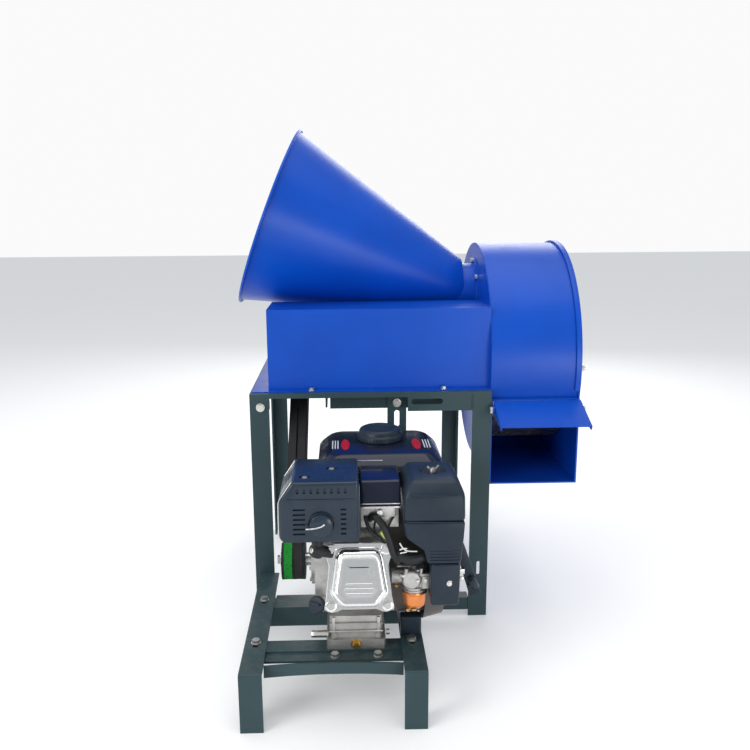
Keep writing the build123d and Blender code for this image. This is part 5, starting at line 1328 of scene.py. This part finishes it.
def rounded_level(left, right_side, front, back, z, radius, steps=7):
    """A level rectangle with round corners, as points in millimetres."""
    points = []
    for corner_x, corner_y, start in ((right_side - radius, front + radius, -90),
                                      (right_side - radius, back - radius, 0),
                                      (left + radius, back - radius, 90),
                                      (left + radius, front + radius, 180)):
        for step in range(steps + 1):
            turn = math.radians(start + 90 * step / steps)
            points.append((corner_x + radius * math.cos(turn), corner_y + radius * math.sin(turn), z))
    return points


def stacked_mesh(name, levels):
    """A closed shape through level outlines with equal counts of points."""
    bm = bmesh.new()
    rows = [[bm.verts.new(at(*point)) for point in level] for level in levels]
    bm.faces.new(rows[0])
    bm.faces.new(rows[-1])
    count = len(rows[0])
    for lower, upper in zip(rows, rows[1:]):
        for side in range(count):
            following = (side + 1) % count
            bm.faces.new((lower[side], lower[following], upper[following], upper[side]))
    return mesh_of(name, bm)


tank_steps = [(58, 10, 22), (56.5, 5, 24), (53, 2, 26), (44, 0.3, 27), (30, 0, 27), (26.2, 0.6, 27),
              (22, 2.5, 27), (16, 7.5, 26), (8.5, 15, 25), (3.4, 21, 23), (1.0, 26, 21), (0.2, 30, 18)]
tank_levels = []
for drop, inset, radius in tank_steps:
    tank_levels.append(rounded_level(tank_left + inset, tank_right - inset, tank_front + inset,
                                     tank_back - inset, tank_top - drop, radius))
seam = [rounded_level(tank_left - 0.2 + i, tank_right + 0.2 - i, tank_front - 0.2 + i, tank_back + 0.2 - i,
                      tank_top - 28 + z, 27)
        for i, z in ((0.9, -2.0), (0, -1.4), (0, 1.4), (0.9, 2.0))]
neck_foot = Vector((cap_middle.x, cap_middle.y, cap_low.z)) - Vector((0, 0, 2 * MILLIMETRE))
fuel_tank = place_piece("gloss_fuel_tank", joined_mesh("gloss_fuel_tank", [
    stacked_mesh("tank", tank_levels), stacked_mesh("seam", seam),
    turned_mesh("neck", [(0, 0), (23.4, 0), (23.4, 8), (0, 8)], neck_foot, (0, 0, 1), 48)]),
    tank_gloss)
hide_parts("fuel_tank")


def decal(name, outline, z_of, material):
    """A thin printed patch that lies on the tank's shoulder."""
    bm = bmesh.new()
    lower = [bm.verts.new(at(x, y, z_of(y))) for x, y in outline]
    upper = [bm.verts.new(vertex.co + Vector((0, -0.0002, 0.0005))) for vertex in lower]
    bm.faces.new(lower)
    bm.faces.new(upper)
    count = len(lower)
    for side in range(count):
        following = (side + 1) % count
        bm.faces.new((lower[side], lower[following], upper[following], upper[side]))
    return place_piece(name, mesh_of(name, bm), material, smooth=False)


def oval(x, y, half_width, half_depth, count=24):
    """An oval outline on the tank's top."""
    return [(x + half_width * math.cos(2 * math.pi * i / count),
             y + half_depth * math.sin(2 * math.pi * i / count))
            for i in range(count)]


for side, label_x in (("left", 196), ("right", 330)):
    decal(f"{side}_label_patch", oval(label_x, -150, 8, 34), lambda y: tank_top - 0.1, red_print)
    outward = -1 if side == "left" else 1
    for stripe in range(3):
        near = label_x + outward * (14 + stripe * 5)
        decal(f"{side}_label_stripe_{stripe + 1}", [(near - 1, -176), (near + 1, -176), (near + 1, -124),
                                                    (near - 1, -124)], lambda y: tank_top - 0.05, white_print)

# ---- Starter side ---------------------------------------------------------------------------------------

grip_low, grip_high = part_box("starter_grip")
grip_middle = (grip_low + grip_high) / 2
grip_out = Vector((0.9, -0.15, 0.4)).normalized()
grip_across = Vector((0.1, -0.55, 1.0))
grip_across = (grip_across - grip_out * grip_across.dot(grip_out)).normalized()


def grip_shape(name):
    """The pull handle: a round bar with a waisted neck."""
    neck = turned_mesh("neck", [(0, -8), (5.2, -8), (4.4, 0), (5.6, 5), (0, 5)], grip_middle, grip_out, 32)
    bar = turned_mesh("bar", [(0, -17), (5.4, -16.4), (7.2, -13), (7.6, 0), (7.2, 13), (5.4, 16.4), (0, 17)],
                      grip_middle + grip_out * (3 * MILLIMETRE), grip_across, 40)
    return joined_mesh(name, [neck, bar])


pull_handle = place_piece("pull_handle", grip_shape("pull_handle"), black, body="starter_handle")
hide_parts("starter_grip")

strap = slab_mesh("shroud_side_stay", [(0, 0), (18, 0), (54, -104), (32, -110)], at(395, -216, 268),
                  (1, 0, 0), (0, 0, 1), -5)
place_piece("shroud_side_stay", strap, black, bevel=1.6)
place_piece("stay_bracket", joined_mesh("stay_bracket", [
    box_mesh("plate", (398, -222, 176), (404, -214, 214)),
    box_mesh("tab", (398, -222, 206), (416, -218, 216)),
    turned_mesh("bolt", [(0, 0), (5.5, 0), (5.5, 4), (0, 5)], at(410, -222, 198), front_axis, 6)]),
    zinc, bevel=0.8)

recoil_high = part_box("recoil_cover")[1]
recoil_x = (recoil_high.x - table_corner.x) / MILLIMETRE
place_piece("recoil_hub", joined_mesh("recoil_hub", [
    turned_mesh("hub", [(0, -2), (26, -2), (25, 2.4), (22, 4), (0, 4.4)], at(recoil_x, crank_y, crank_z),
                (1, 0, 0), 64),
    turned_mesh("rim", [(82, -4), (83.5, -1.6), (82, 0.8), (78, 1.2), (76, 0), (76, -4), (82, -4)],
                at(recoil_x, crank_y, crank_z), (1, 0, 0), 96)]), finishes["blower_paint"])
place_piece("recoil_screws", ring("recoil_screws", 4, 104, 4.0, 4.0, 5, at(recoil_x - 35, crank_y, crank_z),
                                  (1, 0, 0), zinc,
                                  round_studs=True), None)

# ---- Floor ----------------------------------------------------------------------------------------------

floor_mesh = bpy.data.meshes.new("floor")
reach = 14.0
floor_mesh.from_pydata([(-reach, -reach, 0), (reach, -reach, 0), (reach, reach, 0), (-reach, reach, 0)], [],
                       [(0, 1, 2, 3)])
floor = bpy.data.objects.new("floor", floor_mesh)
scene.collection.objects.link(floor)
floor_finish = bpy.data.materials.new("pale_floor")
floor_finish.use_nodes = True
floor_shader = floor_finish.node_tree.nodes["Principled BSDF"]
floor_shader.inputs["Base Color"].default_value = (0.82, 0.82, 0.82, 1)
floor_shader.inputs["Roughness"].default_value = 0.9
floor_shader.inputs["Emission Color"].default_value = (1.0, 1.0, 1.0, 1)
floor_shader.inputs["Emission Strength"].default_value = 0.22
floor_mesh.materials.append(floor_finish)
